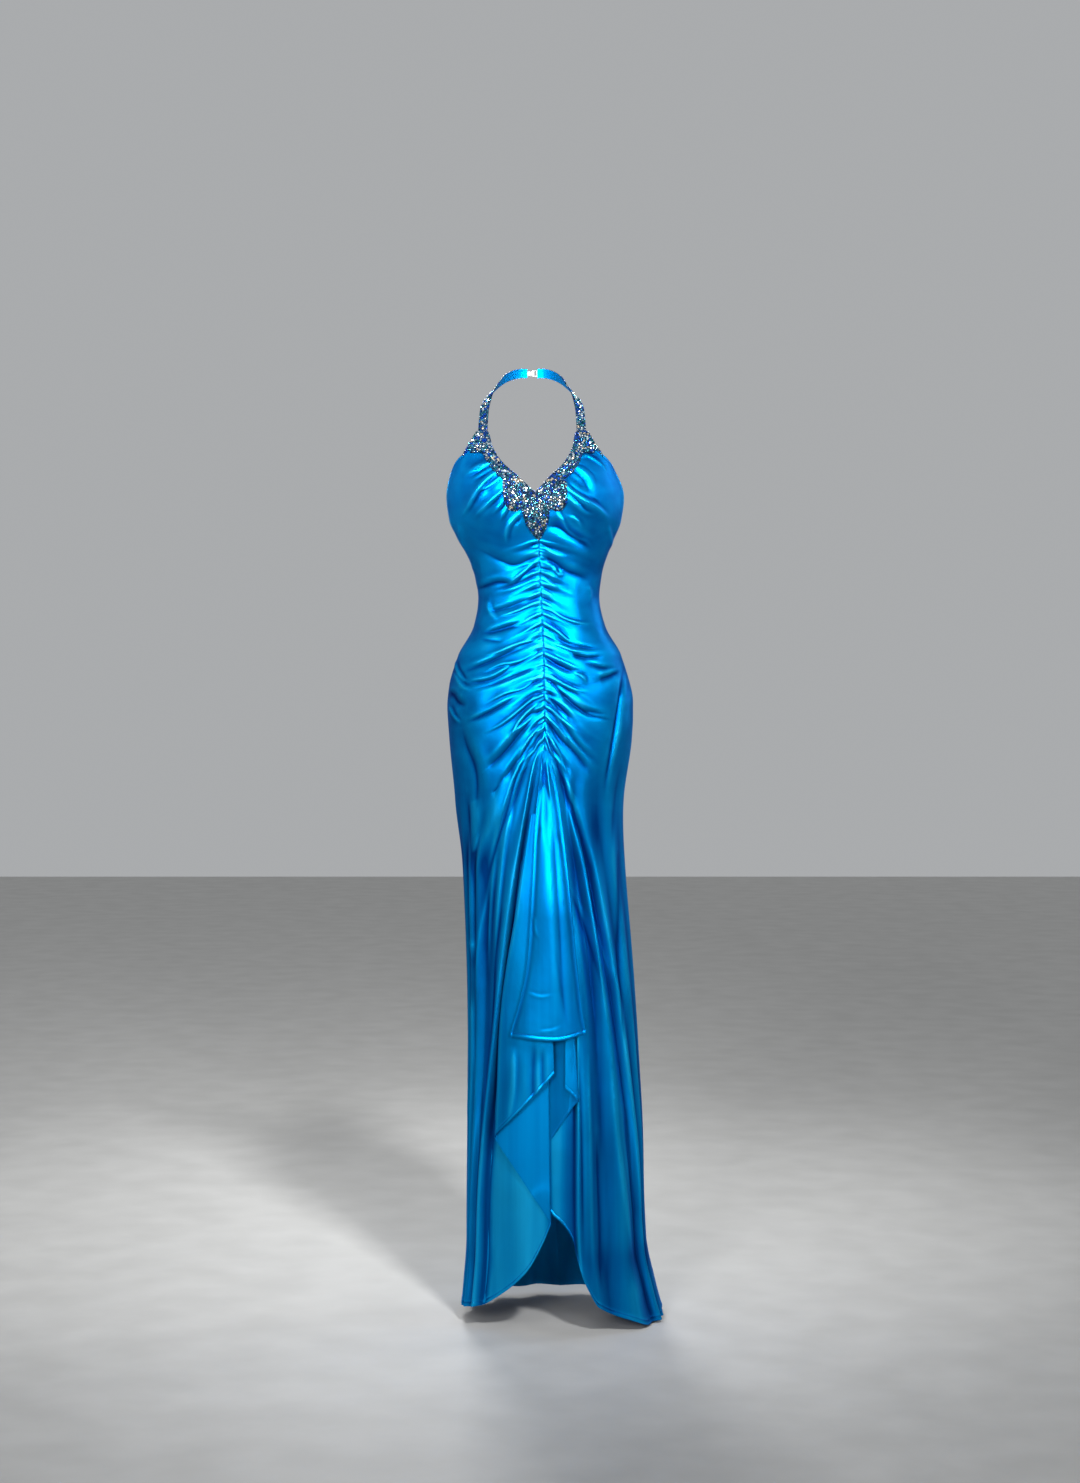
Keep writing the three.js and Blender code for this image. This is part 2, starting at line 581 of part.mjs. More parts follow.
/** The beaded motif below the V, over both fronts. */
function centreMotif() {
  const grid = [];
  for (let i = 0; i <= MOTIF_ROWS; i += 1) {
    const share = i / MOTIF_ROWS;
    grid.push(MOTIF.map(({ column, foot }) =>
      trimPoint(mix(BAND_ROWS + MOTIF_GAP, foot, share), column)));
  }
  const inside = (i, j) => i > 0 && i < MOTIF_ROWS && j > 0 && j < MOTIF.length - 1;
  const raise = (i, j) => (inside(i, j) && (i + j) % 2 === 0 ? STONE : 0);
  return wall('centre_motif', grid, BEADS, { thickness: TRIM, facing: -1, raise });
}

/** A halter strap, from the cup tip round the neck to the clasp. */
function strap(name, side) {
  const front = side > 0 ? frontLeft : frontRight;
  const start = front[0][STRAP_COLUMN].clone().lerp(front[0][STRAP_COLUMN + 1], 0.5);
  start.add(new THREE.Vector3(0, -STRAP_FORWARD, STRAP_LIFT));
  const path = STRAP_PATH.map((p) => new THREE.Vector3(side * p.x, p.y, p.z));
  const curve = new THREE.CatmullRomCurve3([start, ...path], false, 'centripetal');
  const lookAt = (axis, t) =>
    curveThrough(STRAP_FACING.map((row) => row.t), STRAP_FACING.map((row) => row[axis]), t);
  const grid = Array.from({ length: STRAP_ACROSS + 1 }, () => []);
  for (let j = 0; j <= STRAP_STEPS; j += 1) {
    const t = j / STRAP_STEPS;
    const middle = curve.getPointAt(t);
    const outward = new THREE.Vector3(side * lookAt('x', t), lookAt('y', t), lookAt('z', t));
    const across = curve.getTangentAt(t).cross(outward).multiplyScalar(-side);
    if (j === 0) across.setZ(0);
    if (j === STRAP_STEPS) across.setX(0);
    across.normalize();
    grid.forEach((row, i) => {
      const offset = (i / STRAP_ACROSS - 0.5) * STRAP_WIDTH;
      row.push(middle.clone().addScaledVector(across, offset));
    });
  }
  const stones = (i, j) =>
    (i === STRAP_ACROSS / 2 && j > 0 && j < STRAP_STEPS - 2 && j % 4 > 1 ? STONE : 0);
  return wall(name, grid, BEADS, { thickness: TRIM, facing: side, raise: stones });
}

const cascade = (column, z) =>
  curveThrough(CASCADE.map((row) => row.z), CASCADE.map((row) => row[column]), z);

/** A folded sheet: path(z, w) gives its x and how far it stands out at each share w across it. */
function foldedSheet(name, { top, rows, shares, hem, path }) {
  const grid = [];
  for (let i = 0; i <= rows; i += 1) {
    grid.push(shares.map((w) => {
      const z = mix(top, hem(w), i / rows);
      const { x, out } = path(z, w);
      const at = formPoint(angleOfX(x, z), z);
      return at.setY(at.y - out);
    }));
  }
  return wall(name, grid, SATIN, {});
}

/** A hairpin of cloth in plan: from one end to a round fold, then back to the other end. */
function hairpin(w, from, fold, to) {
  const turn = (fold.front - fold.rear) / 2;
  const away = Math.sign(from.x - fold.x);
  const middle = { x: fold.x + away * turn, out: (fold.front + fold.rear) / 2 };
  if (w <= HAIRPIN_IN) {
    const t = w / HAIRPIN_IN;
    return { x: mix(from.x, middle.x, t), out: mix(from.out, fold.rear, t) };
  }
  if (w >= HAIRPIN_OUT) {
    const t = (w - HAIRPIN_OUT) / (1 - HAIRPIN_OUT);
    return { x: mix(middle.x, to.x, t), out: mix(fold.front, to.out, t) };
  }
  const angle = Math.PI * ((w - HAIRPIN_IN) / (HAIRPIN_OUT - HAIRPIN_IN));
  return { x: middle.x - away * turn * Math.sin(angle), out: middle.out - turn * Math.cos(angle) };
}

/** The right side fold: from the centre seam out to its tip, and back behind the centre drape. */
function cascadeRight() {
  const path = (z, w) => {
    const k = foldGrowth(z);
    const from = { x: centreSeamX(z) - CASCADE_SEAM, out: FOLDS_RIGHT[0].out * k + LAYER };
    const fold = { x: cascade('rightFold', z), rear: 1.2 + 3 * k, front: 3.8 + 9.5 * k };
    return hairpin(w, from, fold, { x: cascade('rightEnd', z), out: 3.8 + 10.5 * k });
  };
  const hem = (w) => lineThrough(CASCADE_RIGHT_HEM, 'w', 'z', w);
  return foldedSheet('cascade_right', { ...CASCADE_RIGHT, shares: HAIRPIN_SHARES, hem, path });
}

/** The left side fold, short and half hidden by the centre drape. */
function cascadeLeft() {
  const path = (z, w) => {
    const k = foldGrowth(z);
    const from = { x: centreSeamX(z) + CASCADE_SEAM, out: FOLDS_LEFT[0].out * k + LAYER };
    const fold = { x: cascade('leftFold', z), rear: 7.6, front: 13.4 };
    return hairpin(w, from, fold, { x: cascade('leftEnd', z), out: 14 });
  };
  const hem = (w) => lineThrough(CASCADE_LEFT_HEM, 'w', 'z', w);
  return foldedSheet('cascade_left', { ...CASCADE_LEFT, shares: HAIRPIN_SHARES, hem, path });
}

/** The centre drape: a crowned panel from the fan to its hem, with both edges turned under. */
function cascadeCentre() {
  const path = (z, w) => {
    const k = foldGrowth(z);
    const [under, side, crown] = ['under', 'side', 'crown'].map((part) =>
      DRAPE_OUT[part].start + DRAPE_OUT[part].full * k);
    const low = cascade('centreRight', z);
    const high = cascade('centreLeft', z);
    const past = Math.abs(w) - 1;
    if (past < 0) {
      const share = (1 + w) / 2;
      return { x: mix(low, high, share), out: mix(side, crown, Math.sin(Math.PI * share)) };
    }
    const turn = Math.min(DRAPE.turn, 0.22 * (high - low) - 2);
    const inward = w < 0 ? 1 : -1;
    const x = (w < 0 ? low : high) + inward * turn * past ** 1.6;
    return { x, out: mix(side, under, past ** 0.4) };
  };
  const hem = (w) => lineThrough(DRAPE_HEM, 'w', 'z', w);
  return foldedSheet('cascade_centre', { ...DRAPE, shares: DRAPE_SHARES, hem, path });
}

/** A flat plate: an outline in x and y, extruded upwards and centred on z = 0. */
function plate(outline, thick, curveSegments = 6) {
  const geometry = new THREE.ExtrudeGeometry(outline, { depth: thick, bevelEnabled: false, curveSegments });
  return geometry.translate(0, 0, -thick / 2);
}

const rectangle = (Path, left, right, top) => {
  const corners = [[left, -top], [right, -top], [right, top], [left, top]];
  return new Path(corners.map(([x, y]) => new THREE.Vector2(x, y)));
};

/** The hook and the eye that close the halter at the nape. The hook's inner face is at y = 0. */
function napeClasp() {
  const outline = new THREE.Shape(HOOK_OUTLINE.map((p) => new THREE.Vector2(p.x, p.y)));
  const hook = new THREE.Mesh(plate(outline, HOOK_HEIGHT), STEEL);
  hook.name = 'nape_hook';
  const loop = rectangle(THREE.Shape, EYE.start, EYE.end, EYE.height / 2);
  const { bar } = EYE;
  loop.holes.push(rectangle(THREE.Path, EYE.start + bar, EYE.end - bar, EYE.height / 2 - bar));
  const eye = new THREE.Mesh(plate(loop, EYE.thick).rotateX(Math.PI / 2), STEEL);
  eye.name = 'nape_eye';
  eye.position.y = EYE.inner + EYE.thick / 2;
  return [hook, eye];
}

const wasm = await Module();
wasm.setup();

/** A named mesh joined from several closed geometries. */
function joined(name, geometries) {
  const solids = geometries.map((geometry) => {
    geometry.deleteAttribute('normal');
    geometry.deleteAttribute('uv');
    const merged = mergeVertices(geometry, 1e-4);
    return new wasm.Manifold(new wasm.Mesh({
      numProp: 3,
      vertProperties: new Float32Array(merged.attributes.position.array),
      triVerts: new Uint32Array(merged.index.array),
    }));
  });
  const { vertProperties, triVerts } = solids.reduce((whole, solid) => whole.add(solid)).getMesh();
  const geometry = new THREE.BufferGeometry();
  geometry.setAttribute('position', new THREE.Float32BufferAttribute(vertProperties, 3));
  geometry.setIndex(new THREE.BufferAttribute(new Uint32Array(triVerts), 1));
  const mesh = new THREE.Mesh(geometry, STEEL);
  mesh.name = name;
  return mesh;
}

/** The tape of the zip, inside both backs from their top edge down. */
function zipTape() {
  const lift = -(CLOTH / 2 + ZIP_TAPE.gap + ZIP_TAPE.thick / 2);
  const grid = [];
  for (let i = 0; i <= ZIP_TAPE.steps; i += 1) {
    const row = (ZIP_TAPE.rows * i) / ZIP_TAPE.steps;
    const right = (column) => gridPoint(backRight, row, column, -1, lift);
    const left = (column) => gridPoint(backLeft, row, column, 1, lift);
    grid.push([right(ZIP_TAPE.columns), right(0).lerp(left(0), 0.5), left(ZIP_TAPE.columns)]);
  }
  return wall('zip_tape', grid, SATIN, { thickness: ZIP_TAPE.thick });
}

/** The slider at the top of the zip and its pull, which hangs from a pin between two ears. */
function zipSlider() {
  const top = backRight[0][0];
  const below = backRight[1][0];
  const group = new THREE.Group();
  group.position.set((top.x + backLeft[0][0].x) / 2, top.y, top.z);
  group.rotation.x = Math.atan2(below.y - top.y, top.z - below.z);

  const face = CLOTH / 2 + SLIDER.gap;
  const pinY = face + SLIDER.thick + PULL.rise;
  const base = new THREE.BoxGeometry(SLIDER.width, SLIDER.thick, SLIDER.length);
  base.translate(0, face + SLIDER.thick / 2, -SLIDER.from - SLIDER.length / 2);
  const ears = [-EAR.x, EAR.x].map((x) => {
    const foot = face + SLIDER.thick / 2;
    const height = pinY + EAR.past - foot;
    return new THREE.BoxGeometry(EAR.width, height, EAR.length).translate(x, foot + height / 2, -PULL.pin);
  });
  const pin = new THREE.CylinderGeometry(PULL.pinRadius, PULL.pinRadius, 2 * EAR.x, 12);
  pin.rotateZ(Math.PI / 2).translate(0, pinY, -PULL.pin);

  const ringOutline = new THREE.Shape().absarc(0, 0, PULL.knuckle, 0, 2 * Math.PI);
  ringOutline.holes.push(new THREE.Path().absarc(0, 0, PULL.bore, 0, 2 * Math.PI, true));
  const ring = plate(ringOutline, PULL.ringWidth, 8).rotateY(Math.PI / 2);
  const { neck, wide, length } = TAB;
  const tabOutline = new THREE.Shape();
  tabOutline.moveTo(-neck, 0);
  tabOutline.quadraticCurveTo(-wide, -0.55 * length, -0.6 * wide, -0.92 * length);
  tabOutline.quadraticCurveTo(0, -1.08 * length, 0.6 * wide, -0.92 * length);
  tabOutline.quadraticCurveTo(wide, -0.55 * length, neck, 0);
  const tab = plate(tabOutline, TAB.thick).rotateX(Math.PI / 2);
  tab.translate(0, 0, -(PULL.bore + PULL.knuckle) / 2);
  const pull = joined('zip_pull', [ring, tab]);
  pull.position.set(0, pinY, -PULL.pin);
  group.add(joined('zip_slider', [base, ...ears, pin]), pull);
  return group;
}

const seamEdges = { first: 'x', last: 'y' };
const dress = new THREE.Group();
dress.name = 'evening_dress';
dress.add(
  wall('front_right', frontRight, SATIN, { facing: 1, keep: seamEdges }),
  wall('front_left', frontLeft, SATIN, { facing: -1, keep: seamEdges }),
  wall('back_right', backRight, SATIN, { facing: -1, keep: seamEdges }),
  wall('back_left', backLeft, SATIN, { facing: 1, keep: seamEdges }),
  cascadeCentre(),
  cascadeRight(),
  cascadeLeft(),
  edgeBand('neck_band_right', -1, BAND_GAP, STRAP_COLUMN, 18),
  edgeBand('neck_band_left', 1, BAND_GAP, STRAP_COLUMN, 18),
  edgeBand('cup_tip_right', -1, STRAP_COLUMN + CUP_TIP_GAP, CUP_TIP_COLUMN, 6),
  edgeBand('cup_tip_left', 1, STRAP_COLUMN + CUP_TIP_GAP, CUP_TIP_COLUMN, 6),
  centreMotif(),
  strap('strap_right', -1),
  strap('strap_left', 1),
  ...napeClasp(),
  zipTape(),
  zipSlider(),
);

export default dress;
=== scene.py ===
"""Looks of the evening dress: satin with ruching and hanging folds, beaded trim, zip and studio."""
import logging
import math
from dataclasses import dataclass, field
from enum import Enum

import bpy
import numpy as np
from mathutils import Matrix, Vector


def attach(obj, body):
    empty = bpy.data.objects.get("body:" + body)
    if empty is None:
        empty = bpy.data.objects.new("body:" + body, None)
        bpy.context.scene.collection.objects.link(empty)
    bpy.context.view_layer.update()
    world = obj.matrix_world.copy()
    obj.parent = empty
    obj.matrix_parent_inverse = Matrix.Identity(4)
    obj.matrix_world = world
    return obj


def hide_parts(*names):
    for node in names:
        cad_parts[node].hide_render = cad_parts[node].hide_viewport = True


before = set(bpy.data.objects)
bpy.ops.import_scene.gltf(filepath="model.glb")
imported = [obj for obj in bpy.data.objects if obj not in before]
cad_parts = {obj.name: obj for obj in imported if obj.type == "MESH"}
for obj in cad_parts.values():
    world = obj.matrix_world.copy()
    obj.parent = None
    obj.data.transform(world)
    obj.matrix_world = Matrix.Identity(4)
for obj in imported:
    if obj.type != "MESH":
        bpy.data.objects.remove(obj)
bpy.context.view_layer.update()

Array = np.ndarray
Socket = bpy.types.NodeSocket
MM = 0.001
CLOTH = 1.1
HEM = -1582.0
# The ruching, from its first to its last line, at the centre seam and at the side seams.
GATHER_TOP, GATHER_END = -290.0, -625.0
GATHER_SIDE_TOP, GATHER_SIDE_END = -330.0, -742.0
GATHER_LINES = 40
BODICE_ROWS = 11
SKIRT_ROWS = 17
LAST_GATHER = BODICE_ROWS + GATHER_LINES
LAST_ROW = LAST_GATHER + SKIRT_ROWS
# The skirt's folds grow between these two heights.
FAN_TOP, FAN_FULL = -620.0, -900.0
ROUNDNESS = 2.3
# The heights at which the places of the fronts' folds are given.
LEVELS = (-540.0, -640.0, -700.0, -835.0, -1100.0, -1400.0, HEM)
# A crease's cross section falls to nothing within its reach, in widths, and its lip lies beside it.
CREASE_STEPS, CREASE_REACH, CREASE_POWER, LIP_AT = 40, 4, 1.25, 1.5
CREASE_GAIN = 1.6
WIDE_CREASE, WIDE_GAIN = 4.0, 0.8
# Small waves all over the cloth: their lengths in mm, and what share of a mm across the cloth one mm
# down the body or down the skirt counts as.
WAVE_LENGTHS = (118, 84, 61, 45, 33, 24)
WAVES_ON_BODY, WAVES_ON_SKIRT = 0.55, 0.12
# How far, in mm, a point stands above or below the cloth around it to get the full painted highlight or
# painted shade of the satin's colour ramp.
PAINTED_SHADING_RELIEF = 0.8
RELIEF_ROUNDS = 16
# Distances in mm from a turned edge to the rows of points along it.
EDGE_STEPS = (0, 0.8, 1.6, 2.5, 3.5, 4.5, 5.5, 6.5, 7.5, 9)
# The row of each grid that lies in the groove above the turned hem.
STITCH_ROW = -8

logging.basicConfig(level=logging.INFO, format="%(message)s")
log = logging.getLogger("evening_dress")


class Side(Enum):
    """The wearer's side that a piece is on; right is -X."""

    RIGHT = -1
    LEFT = 1

    @property
    def word(self) -> str:
        """The side as it stands in a piece's name."""
        return self.name.lower()


class Hold(Enum):
    """How a piece of cloth is held on the dress."""

    HUNG = "hung"
    GATHERED = "gathered"
    FOLDED = "folded"
    LAID = "laid"


class Slot(Enum):
    """The material slots of the record for the scene's own pieces; no piece here is given one."""

    SATIN = "satin"
    BEADWORK = "beadwork"


def mix(low: Array | float, high: Array | float, share: Array | float) -> Array | float:
    """The value at a share of the way from low to high."""
    return low + (high - low) * share


def smooth(value: Array | float, start: float, end: float) -> Array:
    """0 before start, 1 past end, and an even rise between them."""
    t = np.clip((value - start) / (end - start), 0.0, 1.0)
    return t * t * (3.0 - 2.0 * t)


def bell(value: Array, middle: float, width: float) -> Array:
    """A bell curve that is 1 at its middle."""
    return np.exp(-(((value - middle) / width) ** 2))


def signed_power(value: Array, power: float) -> Array:
    """The power of a value's size, with the value's sign."""
    return np.sign(value) * np.abs(value) ** power


def hermite(t: Array, span: Array | float, ends: tuple, slopes: tuple) -> Array:
    """A cubic between two ends.

    Args:
        t: Share of the way, 0 to 1.
        span: Length of the interval that t crosses.
        ends: Value at the start and at the end.
        slopes: Slope at the start and at the end.

    Returns:
        The value at each t.
    """
    value = (1 + 2 * t) * (1 - t) ** 2 * ends[0] + t * t * (3 - 2 * t) * ends[1]
    return value + (t * (1 - t) ** 2 * slopes[0] - t * t * (1 - t) * slopes[1]) * span


def gentle_slope(before: Array, after: Array) -> Array:
    """The harmonic mean of two slopes, or 0 at a turn, so that a curve never swings past."""
    same = before * after > 0
    total = np.where(same, before + after, 1.0)
    return np.where(same, 2 * before * after / total, 0.0)


@dataclass(frozen=True)
class Curve:
    """A smooth curve through points (x, y) that never swings past them."""

    points: tuple

    def __call__(self, x: Array | float) -> Array:
        """The curve's value at x, level past its ends."""
        table = np.array(sorted(self.points), float)
        xs, ys = table[:, 0], table[:, 1]
        steps = np.diff(ys) / np.diff(xs)
        slopes = np.empty_like(ys)
        slopes[0], slopes[-1] = steps[0], steps[-1]
        slopes[1:-1] = gentle_slope(steps[:-1], steps[1:])
        x = np.asarray(x, float)
        i = np.clip(np.searchsorted(xs, x, side="right") - 1, 0, len(xs) - 2)
        span = xs[i + 1] - xs[i]
        t = np.clip((x - xs[i]) / span, 0.0, 1.0)
        return hermite(t, span, (ys[i], ys[i + 1]), (slopes[i], slopes[i + 1]))


def at_column(values: Array, column: Array) -> Array:
    """Values that are given at whole columns, read at fractional ones.

    Args:
        values: One value to a whole column, with the shape of column behind it.
        column: The fractional columns.

    Returns:
        The smooth values, which never swing past the given ones.
    """
    last = len(values) - 1
    i = np.clip(np.floor(column).astype(int), 0, last - 1)

    def take(k: Array) -> Array:
        """The value at whole column k."""
        return np.take_along_axis(values, np.clip(k, 0, last)[None], axis=0)[0]

    near, far = take(i), take(i + 1)
    step = far - near
    before = np.where(i > 0, near - take(i - 1), step)
    after = np.where(i < last - 1, take(i + 2) - far, step)
    slopes = gentle_slope(before, step), gentle_slope(step, after)
    return hermite(column - i, 1.0, (near, far), slopes)


def spline(points: Array, count: int) -> Array:
    """Evenly spaced points on a centripetal curve through the given ones.

    Args:
        points: The points to pass through, one to a row.
        count: How many points to return.

    Returns:
        The points, one to a row.
    """
    ends = 2 * points[0] - points[1], 2 * points[-1] - points[-2]
    line = np.vstack([ends[0], points, ends[1]])
    dense = []
    for p0, p1, p2, p3 in zip(line, line[1:], line[2:], line[3:]):
        d0, d1, d2 = (np.linalg.norm(b - a) ** 0.5 for a, b in ((p0, p1), (p1, p2), (p2, p3)))
        start = ((p1 - p0) / d0 - (p2 - p0) / (d0 + d1) + (p2 - p1) / d1) * d1
        end = ((p2 - p1) / d1 - (p3 - p1) / (d1 + d2) + (p3 - p2) / d2) * d1
        t = np.linspace(0, 1, 24, endpoint=False)[:, None]
        dense.append(hermite(t, 1.0, (p1, p2), (start, end)))
    dense = np.vstack(dense + [points[-1]])
    along = np.append(0, np.cumsum(np.linalg.norm(np.diff(dense, axis=0), axis=1)))
    wanted = np.linspace(0, along[-1], count)
    return np.stack([np.interp(wanted, along, axis) for axis in dense.T], axis=1)


def unit(vectors: Array) -> Array:
    """The vectors at length 1."""
    return vectors / np.maximum(np.linalg.norm(vectors, axis=-1, keepdims=True), 1e-9)


# The columns of the form's sections after their height.
MIDDLE, HALF_WIDTH, FRONT, BACK = 1, 2, 3, 4


@dataclass(frozen=True)
class Form:
    """The hollow form: superellipse sections, each with height, middle, half width, front and back."""

    rows: tuple = (
        (-90, 0, 104, -134, -30),
        (-122, 0, 116, -148, -20),
        (-165, 2, 131, -164, -8),
        (-214, 5, 144, -172, 0),
        (-254, 5, 141, -174, -2),
        (-280, 6, 130, -171, -8),
        (-307, 8, 117, -167, -14),
        (-346, 10, 104, -162, -22),
        (-381, 11, 100, -160, -26),
        (-426, 12, 108, -164, -16),
        (-478, 13, 135, -174, 12),
        (-558, 13, 154, -186, 40),
        (-610, 14, 152, -188, 42),
        (-716, 12, 140, -186, 28),
        (-822, 19, 135, -183, 24),
        (-1033, 31, 139, -182, 34),
        (-1244, 38, 145, -185, 50),
        (-1455, 41, 149, -192, 70),
        (-1534, 46, 160, -197, 82),
        (HEM, 50, 169, -200, 90),
    )
    seam: tuple = ((-90, 0), (-190, 3), (-290, 11), (-478, 19), (GATHER_END, 21), (HEM, 33))
    seam_y: float = -88.0
    seam_z: float = -300.0
    seam_lean: float = -0.02

    def value(self, place: int, z: Array) -> Array:
        """One measure of the sections at a height."""
        return Curve(tuple((row[0], row[place]) for row in self.rows))(z)

    def side_y(self, z: Array) -> Array:
        """The depth of the side seams at a height."""
        return self.seam_y + (z - self.seam_z) * self.seam_lean

    def centre_x(self, z: Array) -> Array:
        """The x of the centre front seam at a height."""
        table = np.array(self.seam[::-1], float)
        return np.interp(z, table[:, 0], table[:, 1])

    def point(self, angle: Array, z: Array) -> Array:
        """The point at an angle: 0 is +X, a quarter turn is the front."""
        power = 2 / ROUNDNESS
        c, s = np.cos(angle), np.sin(angle)
        side_y = self.side_y(z)
        depth = np.where(s >= 0, side_y - self.value(FRONT, z), self.value(BACK, z) - side_y)
        x = self.value(MIDDLE, z) + self.value(HALF_WIDTH, z) * signed_power(c, power)
        return np.stack([x, side_y - depth * signed_power(s, power), z + 0 * x], axis=-1)

    def normal(self, angle: Array, z: Array) -> Array:
        """The level outward direction at an angle."""
        step = 0.004
        tangent = self.point(angle + step, z) - self.point(angle - step, z)
        return unit(np.stack([-tangent[..., 1], tangent[..., 0], 0 * angle], axis=-1))

    def angle_of_x(self, x: Array, z: Array) -> Array:
        """The front angle at which the form passes a given x."""
        ratio = np.clip((x - self.value(MIDDLE, z)) / self.value(HALF_WIDTH, z), -1, 1)
        return np.arccos(signed_power(ratio, ROUNDNESS / 2))

    def drop(self, x: Array, z: Array, out: Array) -> Array:
        """The point of the front at x, brought forward by out."""
        at = self.point(self.angle_of_x(x, z), z)
        at[..., 1] -= out
        return at


FORM = Form()


def growth(z: Array) -> Array:
    """How strongly the skirt's folds show at a height: none above the fan."""
    return smooth(-z, -FAN_TOP, -FAN_FULL)


@dataclass(frozen=True)
class Roll:
    """A turned edge: a narrow ridge and then a stitched groove, at distances from the edge in mm."""

    high: float
    deep: float
    ridge: float = 2.6
    wide: float = 2.2
    groove: float = 6.5
    narrow: float = 1.0

    def height(self, distance: Array) -> Array:
        """How far the cloth stands out at a distance from its edge."""
        ridge = self.high * bell(distance, self.ridge, self.wide)
        return ridge - self.deep * bell(distance, self.groove, self.narrow)


HEM_ROLL = Roll(0.55, 0.4)
ARMHOLE_ROLL = Roll(0.55, 0.35, 2.2, 2.0, 6.0)
BACK_EDGE_ROLL = Roll(0.4, 0.3, 2.4, 2.0, 6.2)
CASCADE_ROLL = Roll(0.45, 0.35)
DRAPE_ROLL = Roll(1.0, 0.7, 0.0, 1.7, 5.5, 3.0)


@dataclass(frozen=True)
class Crease:
    """A soft ridge, or a trough where out is negative, that lies on the cloth in front view.

    The path holds x and z by turns. A lip is the share of a trough beside the ridge, on the left
    of the path where it is positive.
    """

    out: float
    width: float
    lip: float
    path: tuple

    def height(self, x: Array, z: Array) -> Array:
        """How far the crease moves the cloth out at points in front view."""
        line = spline(np.array(self.path, float).reshape(-1, 2), CREASE_STEPS)
        reach = CREASE_REACH * self.width
        (low_x, low_z), (high_x, high_z) = line.min(0) - reach, line.max(0) + reach
        near = (x > low_x) & (x < high_x) & (z > low_z) & (z < high_z)
        out = np.zeros_like(x)
        if not near.any():
            return out
        run = np.diff(line, axis=0)
        offset = np.stack([x[near], z[near]], axis=-1)[:, None] - line[None, :-1]
        share = np.clip((offset * run).sum(2) / (run * run).sum(1), 0, 1)
        distance = np.linalg.norm(offset - share[..., None] * run, axis=2)
        nearest = distance.argmin(1)
        pick = np.arange(len(nearest)), nearest
        along = (nearest + share[pick]) / len(run)
        turn = run[nearest, 0] * offset[pick][:, 1] - run[nearest, 1] * offset[pick][:, 0]
        away = np.copysign(distance[pick], turn) / self.width
        profile = np.exp(-(np.abs(away) ** CREASE_POWER))
        if self.lip:
            beside = LIP_AT if self.lip > 0 else -LIP_AT
            profile = profile - abs(self.lip) * bell(away, beside, 1.0)
        taper = smooth(along, -0.08, 0.22) * (1 - smooth(along, 0.52, 1.02))
        out[near] = self.out * taper * profile
        return out


def creased(creases: tuple, x: Array, z: Array) -> Array:
    """How far all the creases together move the cloth out."""
    total = np.zeros_like(x)
    for crease in creases:
        gain = CREASE_GAIN if crease.width < WIDE_CREASE else WIDE_GAIN * CREASE_GAIN
        total += crease.height(x, z) * gain
    return total


def crease_table(*rows: tuple) -> tuple:
    """Creases from rows of out, width and lip, and then the x and z of the path by turns."""
    return tuple(Crease(*row[:3], row[3:]) for row in rows)


